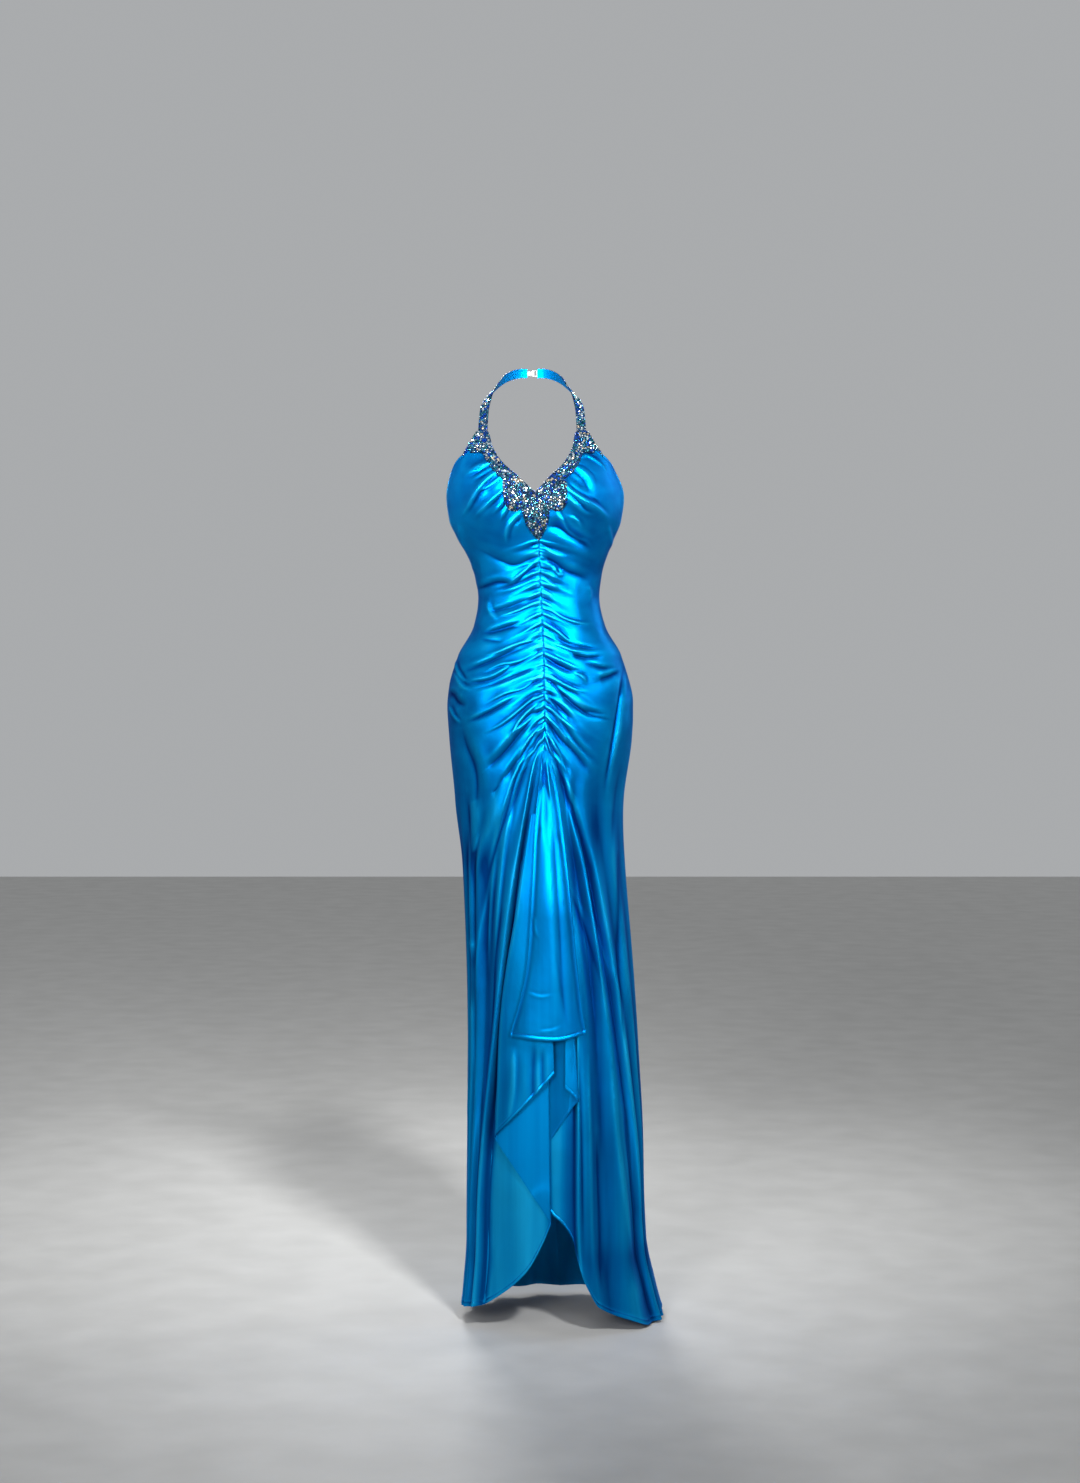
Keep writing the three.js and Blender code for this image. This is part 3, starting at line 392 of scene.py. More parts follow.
RIGHT_CREASES = crease_table(
    (2.2, 3.2, 0.5, -48, -174, -73, -202, -95, -235, -112, -252),
    (1.6, 3.0, 0.5, -38, -204, -53, -221, -71, -239, -91, -255),
    (1.3, 2.8, 0.4, -36, -215, -45, -233, -62, -250),
    (1.8, 4.0, 0.5, -58, -162, -80, -175, -104, -185),
    (1.4, 3.5, 0.4, -52, -167, -73, -182, -91, -193),
    (2.0, 3.5, 0.5, -18, -246, -36, -268, -40, -281, -41, -299),
    (-2.8, 9.0, 0.2, -86, -303, -53, -321, -27, -330, 6, -323),
    (2.2, 3.2, 0.6, 6, -325, -16, -343, -38, -361),
    (-2.0, 5.0, 0.3, -89, -367, -58, -358, -27, -361),
    (-2.0, 5.0, 0.3, -71, -407, -31, -396, 8, -378),
    (-1.8, 5.0, 0.3, -80, -442, -45, -431, -5, -418),
    (1.4, 4.0, 0.4, -73, -385, -71, -403, -53, -423),
    (-1.8, 5.0, 0.3, -81, -446, -42, -434, 1, -424),
    (-1.5, 4.0, 0.3, -84, -451, -64, -454, -45, -455),
    (-2.4, 5.0, 0.5, -110, -504, -71, -489, -33, -472, 11, -458),
    (1.8, 4.0, -0.8, -103, -518, -67, -511, -33, -492, -9, -482),
    (-1.6, 3.5, 0.3, -103, -586, -67, -569, -33, -550, -13, -540),
    (-3.8, 7.0, 0.4, -71, -661, -38, -627, -13, -596, 11, -562),
    (1.6, 3.5, 0.4, -33, -605, -9, -586, 13, -564),
    (-2.2, 5.0, 0.4, -45, -680, -23, -647, -1, -617, 13, -598),
    (-1.2, 4.0, 0.0, -64, -707, -42, -666),
    (-2.8, 6.0, 0.4, -47, -758, -25, -700, -4, -649, 13, -608),
    (2.0, 5.0, 0.5, -127, -504, -113, -528, -96, -535),
    (1.8, 2.6, 0.4, -125, -486, -122, -500, -112, -516, -98, -524),
    (1.6, 2.8, 0.4, -138, -560, -128, -578, -116, -590),
    (1.4, 2.4, 0.4, 8, -452, -22, -458, -52, -470, -84, -478),
    (-1.8, 3.0, 0.4, 14, -492, -20, -508, -56, -522, -98, -534),
    (1.6, 2.8, 0.4, 14, -552, -10, -572, -30, -600, -38, -622),
    (1.5, 2.6, 0.4, 16, -588, -4, -612, -20, -640, -32, -668),
    (-3.8, 9.0, 0.3, -137, -535, -122, -555, -105, -559),
    (-3.8, 11.0, 0.3, -115, -596, -110, -625, -96, -656, -91, -685, -93, -758),
    (1.5, 2.5, 0.3, -89, -771, -98, -805),
    (1.2, 3.0, 0.0, -105, -952, -92, -958),
    (-1.8, 4.0, 0.4, -98, -961, -98, -1073),
    (-2.0, 5.0, 0.0, -12, -749, -27, -867, -42, -985, -53, -1103, -62, -1211),
    (1.3, 3.5, 0.3, -60, -800, -70, -900, -74, -1010),
    (-1.5, 6.0, 0.0, -86, -1180, -92, -1290, -100, -1420),
    (1.2, 5.0, 0.3, -98, -320, -96, -350, -88, -382),
    (1.4, 5.0, 0.3, -118, -262, -112, -290, -100, -316),
    (1.4, 2.6, 0.4, -60, -165, -78, -169, -96, -179),
    (1.2, 2.4, 0.4, -44, -186, -62, -203, -84, -214),
    (1.2, 2.4, 0.4, -34, -226, -40, -244, -52, -262),
    (-2.0, 3.0, -0.4, -4, -627, -28, -683, -48, -751, -63, -807, -74, -855),
    (1.8, 4.0, 0.3, -30, -700, -44, -775, -54, -871, -60, -951, -62, -1011),
    (-1.8, 4.5, 0.3, -48, -891, -60, -975, -62, -1071, -64, -1151),
    (-2.6, 8.0, 0.3, -108, -711, -102, -775, -98, -831, -96, -900),
    (1.6, 4.0, 0.3, -70, -840, -84, -935, -90, -1040, -92, -1170),
    (1.4, 5.0, 0.3, -104, -1180, -110, -1300, -116, -1440),
    (-1.2, 4.0, 0.3, -72, -1240, -80, -1360, -86, -1470),
    (1.3, 1.9, 0.0, 18, -617, 3.7, -651, -8.3, -711, -18.3, -775, -28.3, -847, -36.3, -911, -46.3, -991),
    (1.3, 1.9, 0.0, -40, -945, -54.3, -1071, -63.5, -1175, -71.7, -1281, -79.4, -1315, -82, -1350),
    (1.5, 3.0, 0.4, 10, -470, -20, -486, -52, -492, -84, -506),
    (1.3, 2.6, 0.4, 12, -512, -14, -530, -46, -540, -84, -560),
    (1.4, 2.6, 0.4, 12, -536, -20, -566, -52, -590, -84, -606),
    (-1.3, 3.0, 0.4, 8, -346, -28, -362, -66, -372),
    (1.2, 2.4, 0.4, 10, -388, -24, -404, -58, -414),
)
LEFT_CREASES = crease_table(
    (-3.2, 7.0, 0.3, 55, -171, 73, -186, 84, -204, 81, -217),
    (2.8, 4.2, 0.7, 44, -195, 55, -210, 73, -224, 97, -237, 119, -257),
    (1.8, 3.5, 0.4, 50, -217, 64, -233, 79, -246, 97, -250),
    (1.8, 3.0, 0.5, 74, -156, 85, -152, 92, -155, 101, -161, 110, -170, 116, -182),
    (1.4, 3.0, 0.4, 92, -141, 100, -142, 112, -151, 121, -163),
    (-1.6, 4.0, 0.0, 62, -166, 76, -170, 92, -184, 98, -204),
    (1.5, 3.0, 0.4, 37, -242, 46, -259, 57, -275, 73, -286, 88, -292, 97, -305),
    (1.2, 3.0, 0.3, 57, -252, 68, -259, 77, -272),
    (-4.2, 7.5, 0.3, 24, -266, 44, -270, 61, -281, 79, -290, 92, -305),
    (-3.4, 7.0, 0.4, 22, -314, 42, -330, 55, -339, 70, -345, 99, -353),
    (1.6, 3.0, 0.4, 35, -334, 44, -345, 55, -341),
    (1.3, 3.0, 0.4, 15, -370, 37, -381),
    (1.8, 4.5, 0.4, 119, -263, 126, -290, 129, -305),
    (1.4, 4.0, 0.4, 92, -361, 95, -378, 94, -394),
    (2.2, 3.2, 0.7, 23, -426, 45, -441, 64, -458),
    (-1.6, 4.0, 0.3, 33, -446, 59, -458, 88, -465, 122, -467),
    (-3.2, 5.0, 0.5, 20, -480, 40, -492, 64, -504, 83, -516),
    (1.8, 3.5, 0.5, 64, -504, 83, -513, 89, -526),
    (-2.5, 5.0, 0.3, 49, -540, 69, -557, 93, -569, 129, -576),
    (-3.6, 5.5, 0.4, 25, -540, 42, -559, 57, -576, 64, -593),
    (-4.4, 7.0, 0.4, 25, -586, 49, -615, 74, -642, 98, -676),
    (-2.5, 5.0, 0.4, 42, -576, 64, -610, 88, -637, 108, -654),
    (-2.3, 5.0, 0.3, 64, -477, 93, -482, 122, -477),
    (-1.8, 4.5, 0.3, 86, -489, 117, -499, 146, -496),
    (-3.2, 6.0, 0.4, 110, -518, 132, -511, 149, -501),
    (-2.4, 9.0, 0.3, 154, -516, 144, -564, 132, -613, 124, -666),
    (-2.0, 3.6, 0.4, 152, -498, 146, -548, 134, -616, 122, -672, 116, -720),
    (-1.8, 3.0, 0.5, 24, -514, 48, -539, 72, -561, 94, -575, 136, -584),
    (1.5, 2.6, 0.4, 22, -574, 38, -590, 52, -610, 60, -630),
    (1.4, 2.4, 0.4, 22, -600, 36, -622, 50, -650, 60, -680),
    (1.3, 2.4, 0.4, 20, -546, 32, -556, 44, -570),
    (1.4, 2.6, 0.4, 20, -452, 46, -462, 72, -470, 92, -470),
    (-1.0, 6.0, 0.3, 146, -660, 139, -697, 132, -758, 128, -820),
    (-2.6, 6.0, 0.3, 42, -661, 54, -705, 69, -746, 81, -794),
    (-1.6, 5.0, 0.3, 82, -779, 97, -838, 114, -926, 129, -1014, 150, -1132, 159, -1191),
    (-1.8, 6.0, 0.3, 106, -1263, 112, -1410, 112, -1540),
    (-1.8, 6.0, 0.3, 153, -1233, 167, -1351, 185, -1448),
    (1.4, 4.0, 0.0, 98, -900, 110, -1000, 122, -1110),
    (1.2, 4.0, 0.3, 70, -830, 86, -930, 97, -1030),
    (-2.2, 3.5, 0.4, 28, -615, 50, -683, 72, -743, 90, -807, 104, -871),
    (1.8, 3.5, 0.4, 56, -690, 74, -760, 88, -840, 100, -930, 112, -1020, 124, -1110),
    (-1.6, 4.0, 0.3, 61, -860, 82, -911, 106, -991, 118, -1071, 128, -1150),
    (1.5, 4.0, 0.3, 104, -911, 128, -991, 140, -1031, 152, -1100),
    (-2.0, 5.0, 0.4, 140, -807, 142, -911, 146, -1071, 156, -1240),
    (1.6, 4.5, 0.3, 128, -1160, 140, -1290, 158, -1420, 170, -1510),
    (1.3, 4.0, 0.3, 90, -1130, 94, -1260, 96, -1400, 100, -1520),
    (-1.4, 4.0, 0.3, 76, -1120, 80, -1240, 82, -1370, 84, -1500),
    (1.4, 2.6, 0.4, 28, -402, 52, -416, 78, -424, 104, -426),
    (1.5, 2.8, 0.5, 26, -506, 46, -520, 70, -532, 96, -538),
    (1.3, 2.6, 0.4, 28, -560, 52, -584, 80, -606),
    (1.2, 2.4, 0.4, 18, -300, 36, -312, 58, -318),
    (1.1, 2.2, 0.4, 18, -352, 34, -362, 52, -366),
)
BACK_RIGHT_CREASES = crease_table(
    (-1.4, 8.0, 0.3, -92, -402, -60, -424, -26, -432),
    (1.0, 6.0, 0.3, -98, -432, -62, -452, -24, -456),
    (-1.6, 8.0, 0.3, -118, -476, -76, -492, -30, -488),
    (1.0, 9.0, 0.0, -132, -560, -88, -588, -40, -586),
    (-1.7, 9.0, 0.3, -122, -650, -78, -676, -30, -672),
    (-1.4, 8.0, 0.2, -30, -700, -46, -820, -56, -980),
    (1.0, 7.0, 0.2, -76, -740, -84, -880, -88, -1040),
    (-1.0, 6.0, 0.2, -104, -900, -108, -1040, -110, -1180),
)
BACK_LEFT_CREASES = crease_table(
    (-1.3, 8.0, 0.3, 110, -398, 80, -420, 44, -426),
    (1.0, 6.0, 0.3, 116, -440, 84, -448, 46, -450),
    (-1.7, 8.0, 0.3, 140, -484, 98, -500, 54, -494),
    (0.9, 9.0, 0.0, 150, -548, 110, -574, 64, -580),
    (-1.4, 9.0, 0.3, 146, -640, 100, -668, 56, -660),
    (-1.6, 8.0, 0.2, 52, -712, 70, -840, 82, -1000),
    (0.9, 7.0, 0.2, 98, -760, 112, -900, 120, -1060),
    (-1.2, 6.0, 0.2, 128, -880, 138, -1020, 146, -1160),
)
DRAPE_CREASES = crease_table(
    (2.0, 3.0, 0.4, 16, -652, 15, -676, 16, -700),
    (1.6, 3.0, -0.4, 24, -648, 27, -680, 33, -724),
    (-1.8, 5.0, 0.0, 20, -656, 22, -720, 26, -800),
    (-2.2, 8.0, -0.3, 34, -752, 42, -871, 48, -991, 54, -1098),
    (0.5, 2.5, -0.5, 4, -900, 6, -925, 12, -936),
    (0.25, 2.5, 0.5, -6, -1024, 14, -1029, 36, -1026),
    (0.2, 2.5, 0.5, 12, -1086, 34, -1083, 50, -1076),
    (-0.6, 4.0, 0.0, 40, -960, 50, -1030, 60, -1094),
)
RIGHT_FOLD_CREASES = crease_table(
    (-1.6, 6.0, 0.3, 4, -1110, 2, -1180, 6, -1262),
    (1.6, 5.0, 0.3, -30, -1120, -32, -1190, -40, -1242),
    (-1.2, 5.0, 0.2, 16, -1120, 18, -1200),
)
LEFT_FOLD_CREASES = crease_table((-1.0, 4.0, 0.3, 66, -1110, 66, -1176))


def wavy(x: Array, z: Array, seed: int, size: float = 0.32) -> Array:
    """Small uneven waves over a whole piece of cloth, so that no part of it is quite even."""
    rng = np.random.default_rng(seed)
    total = np.zeros_like(x)
    along = WAVES_ON_BODY * np.maximum(z, FAN_TOP) + WAVES_ON_SKIRT * np.minimum(z - FAN_TOP, 0)
    for length in WAVE_LENGTHS:
        angle, phase = rng.uniform(0, 2 * math.pi, 2)
        across = (x * math.cos(angle) + along * math.sin(angle)) * 2 * math.pi / length
        total += size * (length / 60) ** 0.8 * np.sin(across + phase)
    return total


def linked(name: str, data: bpy.types.ID) -> bpy.types.Object:
    """A new object in the scene that holds a mesh, a light or a camera."""
    obj = bpy.data.objects.new(name, data)
    bpy.context.scene.collection.objects.link(obj)
    return obj


def face(obj: bpy.types.Object, at: tuple, look_at: tuple) -> None:
    """Puts a light or a camera at one point and turns it to another."""
    obj.location = at
    obj.rotation_euler = (Vector(look_at) - Vector(at)).to_track_quat("-Z", "Y").to_euler()


def add_object(name: str, mesh: bpy.types.Mesh, materials: list) -> bpy.types.Object:
    """A new object in the scene with its materials.

    Args:
        name: The piece's name.
        mesh: Its mesh, in metres.
        materials: Its materials, in the order of the faces' indices.

    Returns:
        The linked object.
    """
    for material in materials:
        mesh.materials.append(material)
    return linked(name, mesh)


def declare(obj: bpy.types.Object, node: str = "") -> None:
    """Puts a piece on the dress and hides the CAD node that it stands for."""
    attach(obj, "dress")
    if node:
        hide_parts(node)


def grid_normals(grid: Array, facing: int) -> Array:
    """The outward directions of a grid of points, rows down and columns across."""
    return unit(np.cross(np.gradient(grid, axis=1), np.gradient(grid, axis=0)) * facing)


def lining_faces(rows: int, columns: int, stride: int) -> list:
    """Wide faces for the inner side, which keep every point of the border.

    Args:
        rows: Rows of the grid.
        columns: Columns of the grid.
        stride: How many rows and columns a face spans.

    Returns:
        The faces, as lists of points' places in the grid.
    """
    down = sorted({*range(0, rows, stride), rows - 1})
    across = sorted({*range(0, columns, stride), columns - 1})
    faces = []
    for a, b in zip(down, down[1:]):
        for c, d in zip(across, across[1:]):
            top = range(c, d) if a == 0 else (c,)
            right = range(a, b) if d == columns - 1 else (a,)
            bottom = range(d, c, -1) if b == rows - 1 else (d,)
            left = range(b, a, -1) if c == 0 else (b,)
            around = [a * columns + j for j in top] + [i * columns + d for i in right]
            faces.append(around + [b * columns + j for j in bottom] + [i * columns + c for i in left])
    return faces


def relaxed(grid: Array, rounds: int) -> Array:
    """A grid with its fine relief smoothed away, and its border left as it is."""
    soft = grid.copy()
    for _ in range(rounds):
        near = soft[:-2, 1:-1] + soft[2:, 1:-1] + soft[1:-1, :-2] + soft[1:-1, 2:]
        soft[1:-1, 1:-1] = near / 4
    return soft


def sharpen(mesh: bpy.types.Mesh, border: Array, past: int) -> None:
    """Marks the edges along the rim of both sides of a shell as sharp.

    Args:
        mesh: The shell.
        border: The rim's points, on both sides.
        past: How many points the outer side has.
    """
    on_border = np.zeros(len(mesh.vertices), bool)
    on_border[border] = True
    ends = np.empty(2 * len(mesh.edges), np.int32)
    mesh.edges.foreach_get("vertices", ends)
    ends = ends.reshape(-1, 2)
    sharp = on_border[ends].all(1) & ((ends[:, 0] < past) == (ends[:, 1] < past))
    mesh.attributes.new("sharp_edge", "BOOLEAN", "EDGE").data.foreach_set("value", sharp)


@dataclass(frozen=True)
class Lining:
    """How the inner side of a shell is made: the span of its faces, and how deep it lies."""

    stride: int = 1
    depth: float = 0.0
    rounds: int = 0


def shell(
    name: str, grid: Array, facing: int, thick: float, level: tuple = (), lining: Lining = Lining()
) -> bpy.types.Mesh:
    """A closed thin shell over a grid of middle points.

    Args:
        name: The mesh's name.
        grid: Points in mm, rows down and columns across.
        facing: 1 or -1, for which side is outside.
        thick: The shell's thickness in mm.
        level: Pairs (edge column, axis): the normals of that column lose that axis.
        lining: How the inner side is made.

    Returns:
        The mesh: its outer face has index 0 and its inner face index 1.
    """
    rows, columns = grid.shape[:2]
    normals = grid_normals(grid, facing)
    for column, axis in level:
        normals[:, column, axis] = 0
        normals[:, column] = unit(normals[:, column])
    half = normals * thick / 2
    i, j = np.meshgrid(np.arange(rows), np.arange(columns), indexing="ij")
    from_edge = np.minimum(np.minimum(i, rows - 1 - i), np.minimum(j, columns - 1 - j))
    sunk = normals * (lining.depth * smooth(from_edge, 0, 8))[..., None]
    inner_points = relaxed(grid, lining.rounds) - half - sunk
    index = np.arange(rows * columns).reshape(rows, columns)
    outer = np.stack([index[:-1, :-1], index[:-1, 1:], index[1:, 1:], index[1:, :-1]], -1).reshape(-1, 4)
    border = np.concatenate([index[0], index[1:, -1], index[-1, -2::-1], index[-2:0:-1, 0]])
    after = np.roll(border, -1)
    past = rows * columns
    wide = lining_faces(rows, columns, lining.stride)
    used = np.zeros(past, bool)
    used[[k for face in wide for k in face]] = True
    place = past + np.cumsum(used) - 1
    points = np.concatenate([(grid + half).reshape(-1, 3), inner_points.reshape(-1, 3)[used]]) * MM
    rim = np.stack([after, border, place[border], place[after]], -1)
    faces = outer.tolist() + [place[face[::-1]].tolist() for face in wide] + rim.tolist()
    if facing < 0:
        faces = [face[::-1] for face in faces]
    mesh = bpy.data.meshes.new(name)
    mesh.from_pydata(points.tolist(), [], faces)
    mesh.update(calc_edges=True)
    kinds = np.zeros(len(faces), np.int32)
    kinds[len(outer) : len(outer) + len(wide)] = 1
    mesh.polygons.foreach_set("material_index", kinds)
    mesh.polygons.foreach_set("use_smooth", np.ones(len(faces), bool))
    sharpen(mesh, np.append(border, place[border]), past)
    across, down = np.meshgrid(np.linspace(0, 1, columns), np.linspace(1, 0, rows))
    spread = np.stack([across, down], -1).reshape(-1, 2)
    spread = np.concatenate([spread, spread[used]])
    # How far each point stands out of the smoothed cloth, kept as the relief attribute, which the satin
    # material reads to paint shade in the troughs and highlights on the crests.
    stands = ((grid - relaxed(grid, RELIEF_ROUNDS)) * normals).sum(-1).ravel()
    stands = np.clip(stands / PAINTED_SHADING_RELIEF, -1, 1)
    relief = mesh.attributes.new("relief", "FLOAT", "POINT")
    relief.data.foreach_set("value", np.concatenate([stands, 0 * stands[used]]))
    corners = np.empty(len(mesh.loops), np.int32)
    mesh.loops.foreach_get("vertex_index", corners)
    mesh.uv_layers.new(name="weave").data.foreach_set("uv", spread[corners].ravel())
    return mesh


def grid_area(grid: Array) -> float:
    """The area of a grid of points in mm, in square metres."""
    a = np.cross(grid[:-1, 1:] - grid[:-1, :-1], grid[1:, :-1] - grid[:-1, :-1])
    b = np.cross(grid[1:, 1:] - grid[1:, :-1], grid[1:, 1:] - grid[:-1, 1:])
    return float((np.linalg.norm(a, axis=-1).sum() + np.linalg.norm(b, axis=-1).sum()) / 2 * MM * MM)


def soup(name: str, parts: list) -> bpy.types.Mesh:
    """One mesh from many small closed solids.

    Args:
        name: The mesh's name.
        parts: Tuples of points in mm, triangles or quads of that part, and a material index.

    Returns:
        The flat-shaded mesh in metres.
    """
    points, faces, kinds = [], [], []
    count = 0
    for at, around, kind in parts:
        points.append(at)
        faces.extend((np.asarray(around) + count).tolist())
        kinds.extend([kind] * len(around))
        count += len(at)
    mesh = bpy.data.meshes.new(name)
    mesh.from_pydata((np.vstack(points) * MM).tolist(), [], faces)
    mesh.polygons.foreach_set("material_index", np.array(kinds, np.int32))
    mesh.update(calc_edges=True)
    return mesh


class NodeTree:
    """Short ways to add shader nodes to a material."""

    def __init__(self, name: str) -> None:
        """Starts an empty material with a shader and its output."""
        self.material = bpy.data.materials.new(name)
        self.material.use_nodes = True
        self.nodes = self.material.node_tree.nodes
        self.links = self.material.node_tree.links
        self.shader = self.nodes["Principled BSDF"]
        self.place = self.nodes.new("ShaderNodeTexCoord").outputs["Object"]

    def set(self, **sockets: float | tuple) -> None:
        """Sets the shader's own sockets; an underscore in a name stands for a space."""
        for name, value in sockets.items():
            self.shader.inputs[name.replace("_", " ")].default_value = value

    def add(self, kind: str, link: Socket, into: str | int, **inputs: float | tuple) -> bpy.types.Node:
        """Adds a node of a kind, links a value to one of its inputs and sets others.

        Args:
            kind: The kind of shader node.
            link: The value that goes in.
            into: The input that it goes into.
            **inputs: Values of other inputs; an underscore in a name stands for a space.

        Returns:
            The node.
        """
        node = self.nodes.new(f"ShaderNode{kind}")
        for name, value in inputs.items():
            node.inputs[name.replace("_", " ")].default_value = value
        self.links.new(link, node.inputs[into])
        return node

    def stretched(self, scale: tuple) -> Socket:
        """The object's coordinates, scaled along each axis."""
        return self.add("Mapping", self.place, "Vector", Scale=scale).outputs["Vector"]

    def noise(self, scale: float, detail: float, stretch: tuple = (1, 1, 1), kind: str = "FBM") -> Socket:
        """A noise pattern, scale waves to the metre."""
        node = self.add("TexNoise", self.stretched(stretch), "Vector", Scale=scale, Detail=detail)
        node.noise_type = kind
        return node.outputs["Fac"]

    def ramp(self, value: Socket, stops: tuple) -> Socket:
        """A colour for each value, through stops of (place, colour)."""
        node = self.add("ValToRGB", value, "Fac")
        elements = node.color_ramp.elements
        while len(elements) < len(stops):
            elements.new(0.5)
        for element, (place, colour) in zip(elements, stops):
            element.position = place
            element.color = (*colour, 1)
        return node.outputs["Color"]

    def span(self, value: Socket, low: float, high: float) -> Socket:
        """A value of 0 to 1 spread from low to high."""
        return self.add("MapRange", value, "Value", To_Min=low, To_Max=high).outputs["Result"]

    def bump(self, value: Socket, depth: float, strength: float, under: Socket | None = None) -> Socket:
        """A bump of that depth in metres, over an earlier one where there is one."""
        node = self.add("Bump", value, "Height", Distance=depth, Strength=strength)
        if under is not None:
            self.links.new(under, node.inputs["Normal"])
        return node.outputs["Normal"]

    def scaled(self, value: Socket, gain: float, plus: Socket | None = None) -> Socket:
        """A value times a gain, with another value added where there is one."""
        node = self.add("Math", value, 0)
        node.operation = "MULTIPLY_ADD"
        node.inputs[1].default_value = gain
        node.inputs[2].default_value = 0.0
        if plus is not None:
            self.links.new(plus, node.inputs[2])
        return node.outputs["Value"]

    def relief(self) -> Socket:
        """How far each point stands out of the cloth around it, from -1 to 1."""
        node = self.nodes.new("ShaderNodeAttribute")
        node.attribute_name = "relief"
        return node.outputs["Fac"]

    def blend(self, above: Socket, below: Socket, start: float = -0.58, end: float = -0.76) -> Socket:
        """One value over the body that turns into another over the skirt, between two heights in metres."""
        height = self.add("SeparateXYZ", self.place, "Vector").outputs["Z"]
        share = self.add("MapRange", height, "Value", From_Min=start, From_Max=end)
        both = self.add("Mix", share.outputs["Result"], 0)
        self.links.new(above, both.inputs[2])
        self.links.new(below, both.inputs[3])
        return both.outputs[0]

    def feed(self, socket: str, value: Socket) -> None:
        """Links a value to one of the shader's sockets."""
        self.links.new(value, self.shader.inputs[socket])


@dataclass(frozen=True)
class Satin:
    """Satin: painted shade makes it deep blue in the troughs and a painted highlight makes it brighter on the
    crests, with the finest creases as bumps.
    """

    name: str = "satin_face"
    # The ramp's colours from trough to crest: the trough colour is painted shade and the crest colour a
    # painted highlight.
    trough: tuple = (0.0, 0.045, 0.22)
    deep: tuple = (0.0, 0.135, 0.42)
    bright: tuple = (0.0, 0.22, 0.56)
    crest: tuple = (0.01, 0.42, 0.8)
    metal: float = 0.85
    rough: tuple = (0.32, 0.48)
    wrinkle: float = 0.0013

    def make(self) -> bpy.types.Material:
        """The finished material."""
        tree = NodeTree(self.name)
        tree.set(Metallic=self.metal, Anisotropic=0.45)
        tree.set(Specular_Tint=(0.0, 0.3, 0.65, 1.0), Specular_IOR_Level=0.25)
        # Patterns run across the body and down the skirt.
        streaks = tree.blend(tree.noise(40.0, 5.0, (0.25, 1, 1)), tree.noise(45.0, 5.0, (1, 1, 0.03)))
        clouds = tree.blend(tree.noise(6.0, 3.0, (1, 1, 0.6)), tree.noise(9.0, 2.0, (1, 1, 0.12)))
        cloud = tree.scaled(streaks, 0.4, tree.scaled(clouds, 0.6))
        # Painted shade and painted highlight: the relief attribute darkens the colour in the troughs and
        # brightens it on the crests, over the random clouds and streaks.
        shade = tree.scaled(tree.relief(), 0.28, cloud)
        stops = ((0.22, self.trough), (0.45, self.deep), (0.66, self.bright), (0.95, self.crest))
        tree.feed("Base Color", tree.ramp(shade, stops))
        tree.feed("Roughness", tree.span(tree.noise(26.0, 4.0), *self.rough))
        # Bumps from the softest to the weave.
        crinkle = tree.blend(tree.noise(30.0, 3.0, (0.5, 1, 1)), tree.noise(30.0, 3.0, (1, 1, 0.14)))
        soft = tree.bump(crinkle, self.wrinkle, 0.6)
        over = tree.noise(15.0, 2.0, (0.8, 1, 0.9), "RIDGED_MULTIFRACTAL")
        under = tree.noise(17.0, 2.0, (1, 1, 0.12), "RIDGED_MULTIFRACTAL")
        crisp = tree.bump(tree.blend(over, under), self.wrinkle * 0.6, 0.4, soft)
        fine = tree.bump(tree.noise(150.0, 3.0, (1, 1, 0.6)), 0.0003, 0.4, crisp)
        weave = tree.bump(tree.noise(1500.0, 2.0, (1, 1, 0.25)), 0.00002, 0.3, fine)
        tree.feed("Normal", weave)
        return tree.material


@dataclass(frozen=True)
class Bead:
    """Faceted beads of one colour, clouded a little from bead to bead."""

    name: str
    colour: tuple
    pale: tuple
    metal: float = 0.85
    rough: float = 0.16

    def make(self) -> bpy.types.Material:
        """The finished material."""
        tree = NodeTree(self.name)
        tree.set(Metallic=self.metal, Roughness=self.rough, Coat_Weight=0.1, Coat_Roughness=0.04)
        tree.feed("Base Color", tree.ramp(tree.noise(420.0, 2.0), ((0.35, self.colour), (0.68, self.pale))))
        return tree.material


@dataclass(frozen=True)
class Steel:
    """Plated steel with fine brushing."""

    name: str = "plated_steel"
    dark: tuple = (0.42, 0.44, 0.47)
    pale: tuple = (0.66, 0.68, 0.7)

    def make(self) -> bpy.types.Material:
        """The finished material."""
        tree = NodeTree(self.name)
        tree.set(Metallic=1.0)
        tree.feed("Base Color", tree.ramp(tree.noise(260.0, 3.0), ((0.3, self.dark), (0.7, self.pale))))
        tree.feed("Roughness", tree.span(tree.noise(900.0, 3.0, (1, 1, 0.1)), 0.16, 0.34))
        tree.feed("Normal", tree.bump(tree.noise(2200.0, 2.0, (1, 1, 0.1)), 0.00002, 0.4))
        return tree.material


@dataclass(frozen=True)
class Plain:
    """A matt cloth, thread or floor: two near colours, roughness and a fine bump."""

    name: str
    dark: tuple
    pale: tuple
    rough: tuple = (0.55, 0.75)
    grain: float = 900.0
    depth: float = 0.00005
    gloss: float = 0.1

    def make(self) -> bpy.types.Material:
        """The finished material."""
        tree = NodeTree(self.name)
        tree.set(Specular_IOR_Level=self.gloss)
        tones = ((0.3, self.dark), (0.7, self.pale))
        tree.feed("Base Color", tree.ramp(tree.noise(self.grain / 6, 3.0), tones))
        tree.feed("Roughness", tree.span(tree.noise(self.grain / 3, 2.0), *self.rough))
        tree.feed("Normal", tree.bump(tree.noise(self.grain, 2.0), self.depth, 0.4))
        return tree.material


class Colour(Enum):
    """The beads' colours: the place in the list of bead finishes, and the share of small beads."""

    SILVER = (0, 0.16)
    AQUA = (1, 0.19)
    TEAL = (2, 0.2)
    ROYAL = (3, 0.14)
    NAVY = (4, 0.28)
    CHAMPAGNE = (5, 0.03)


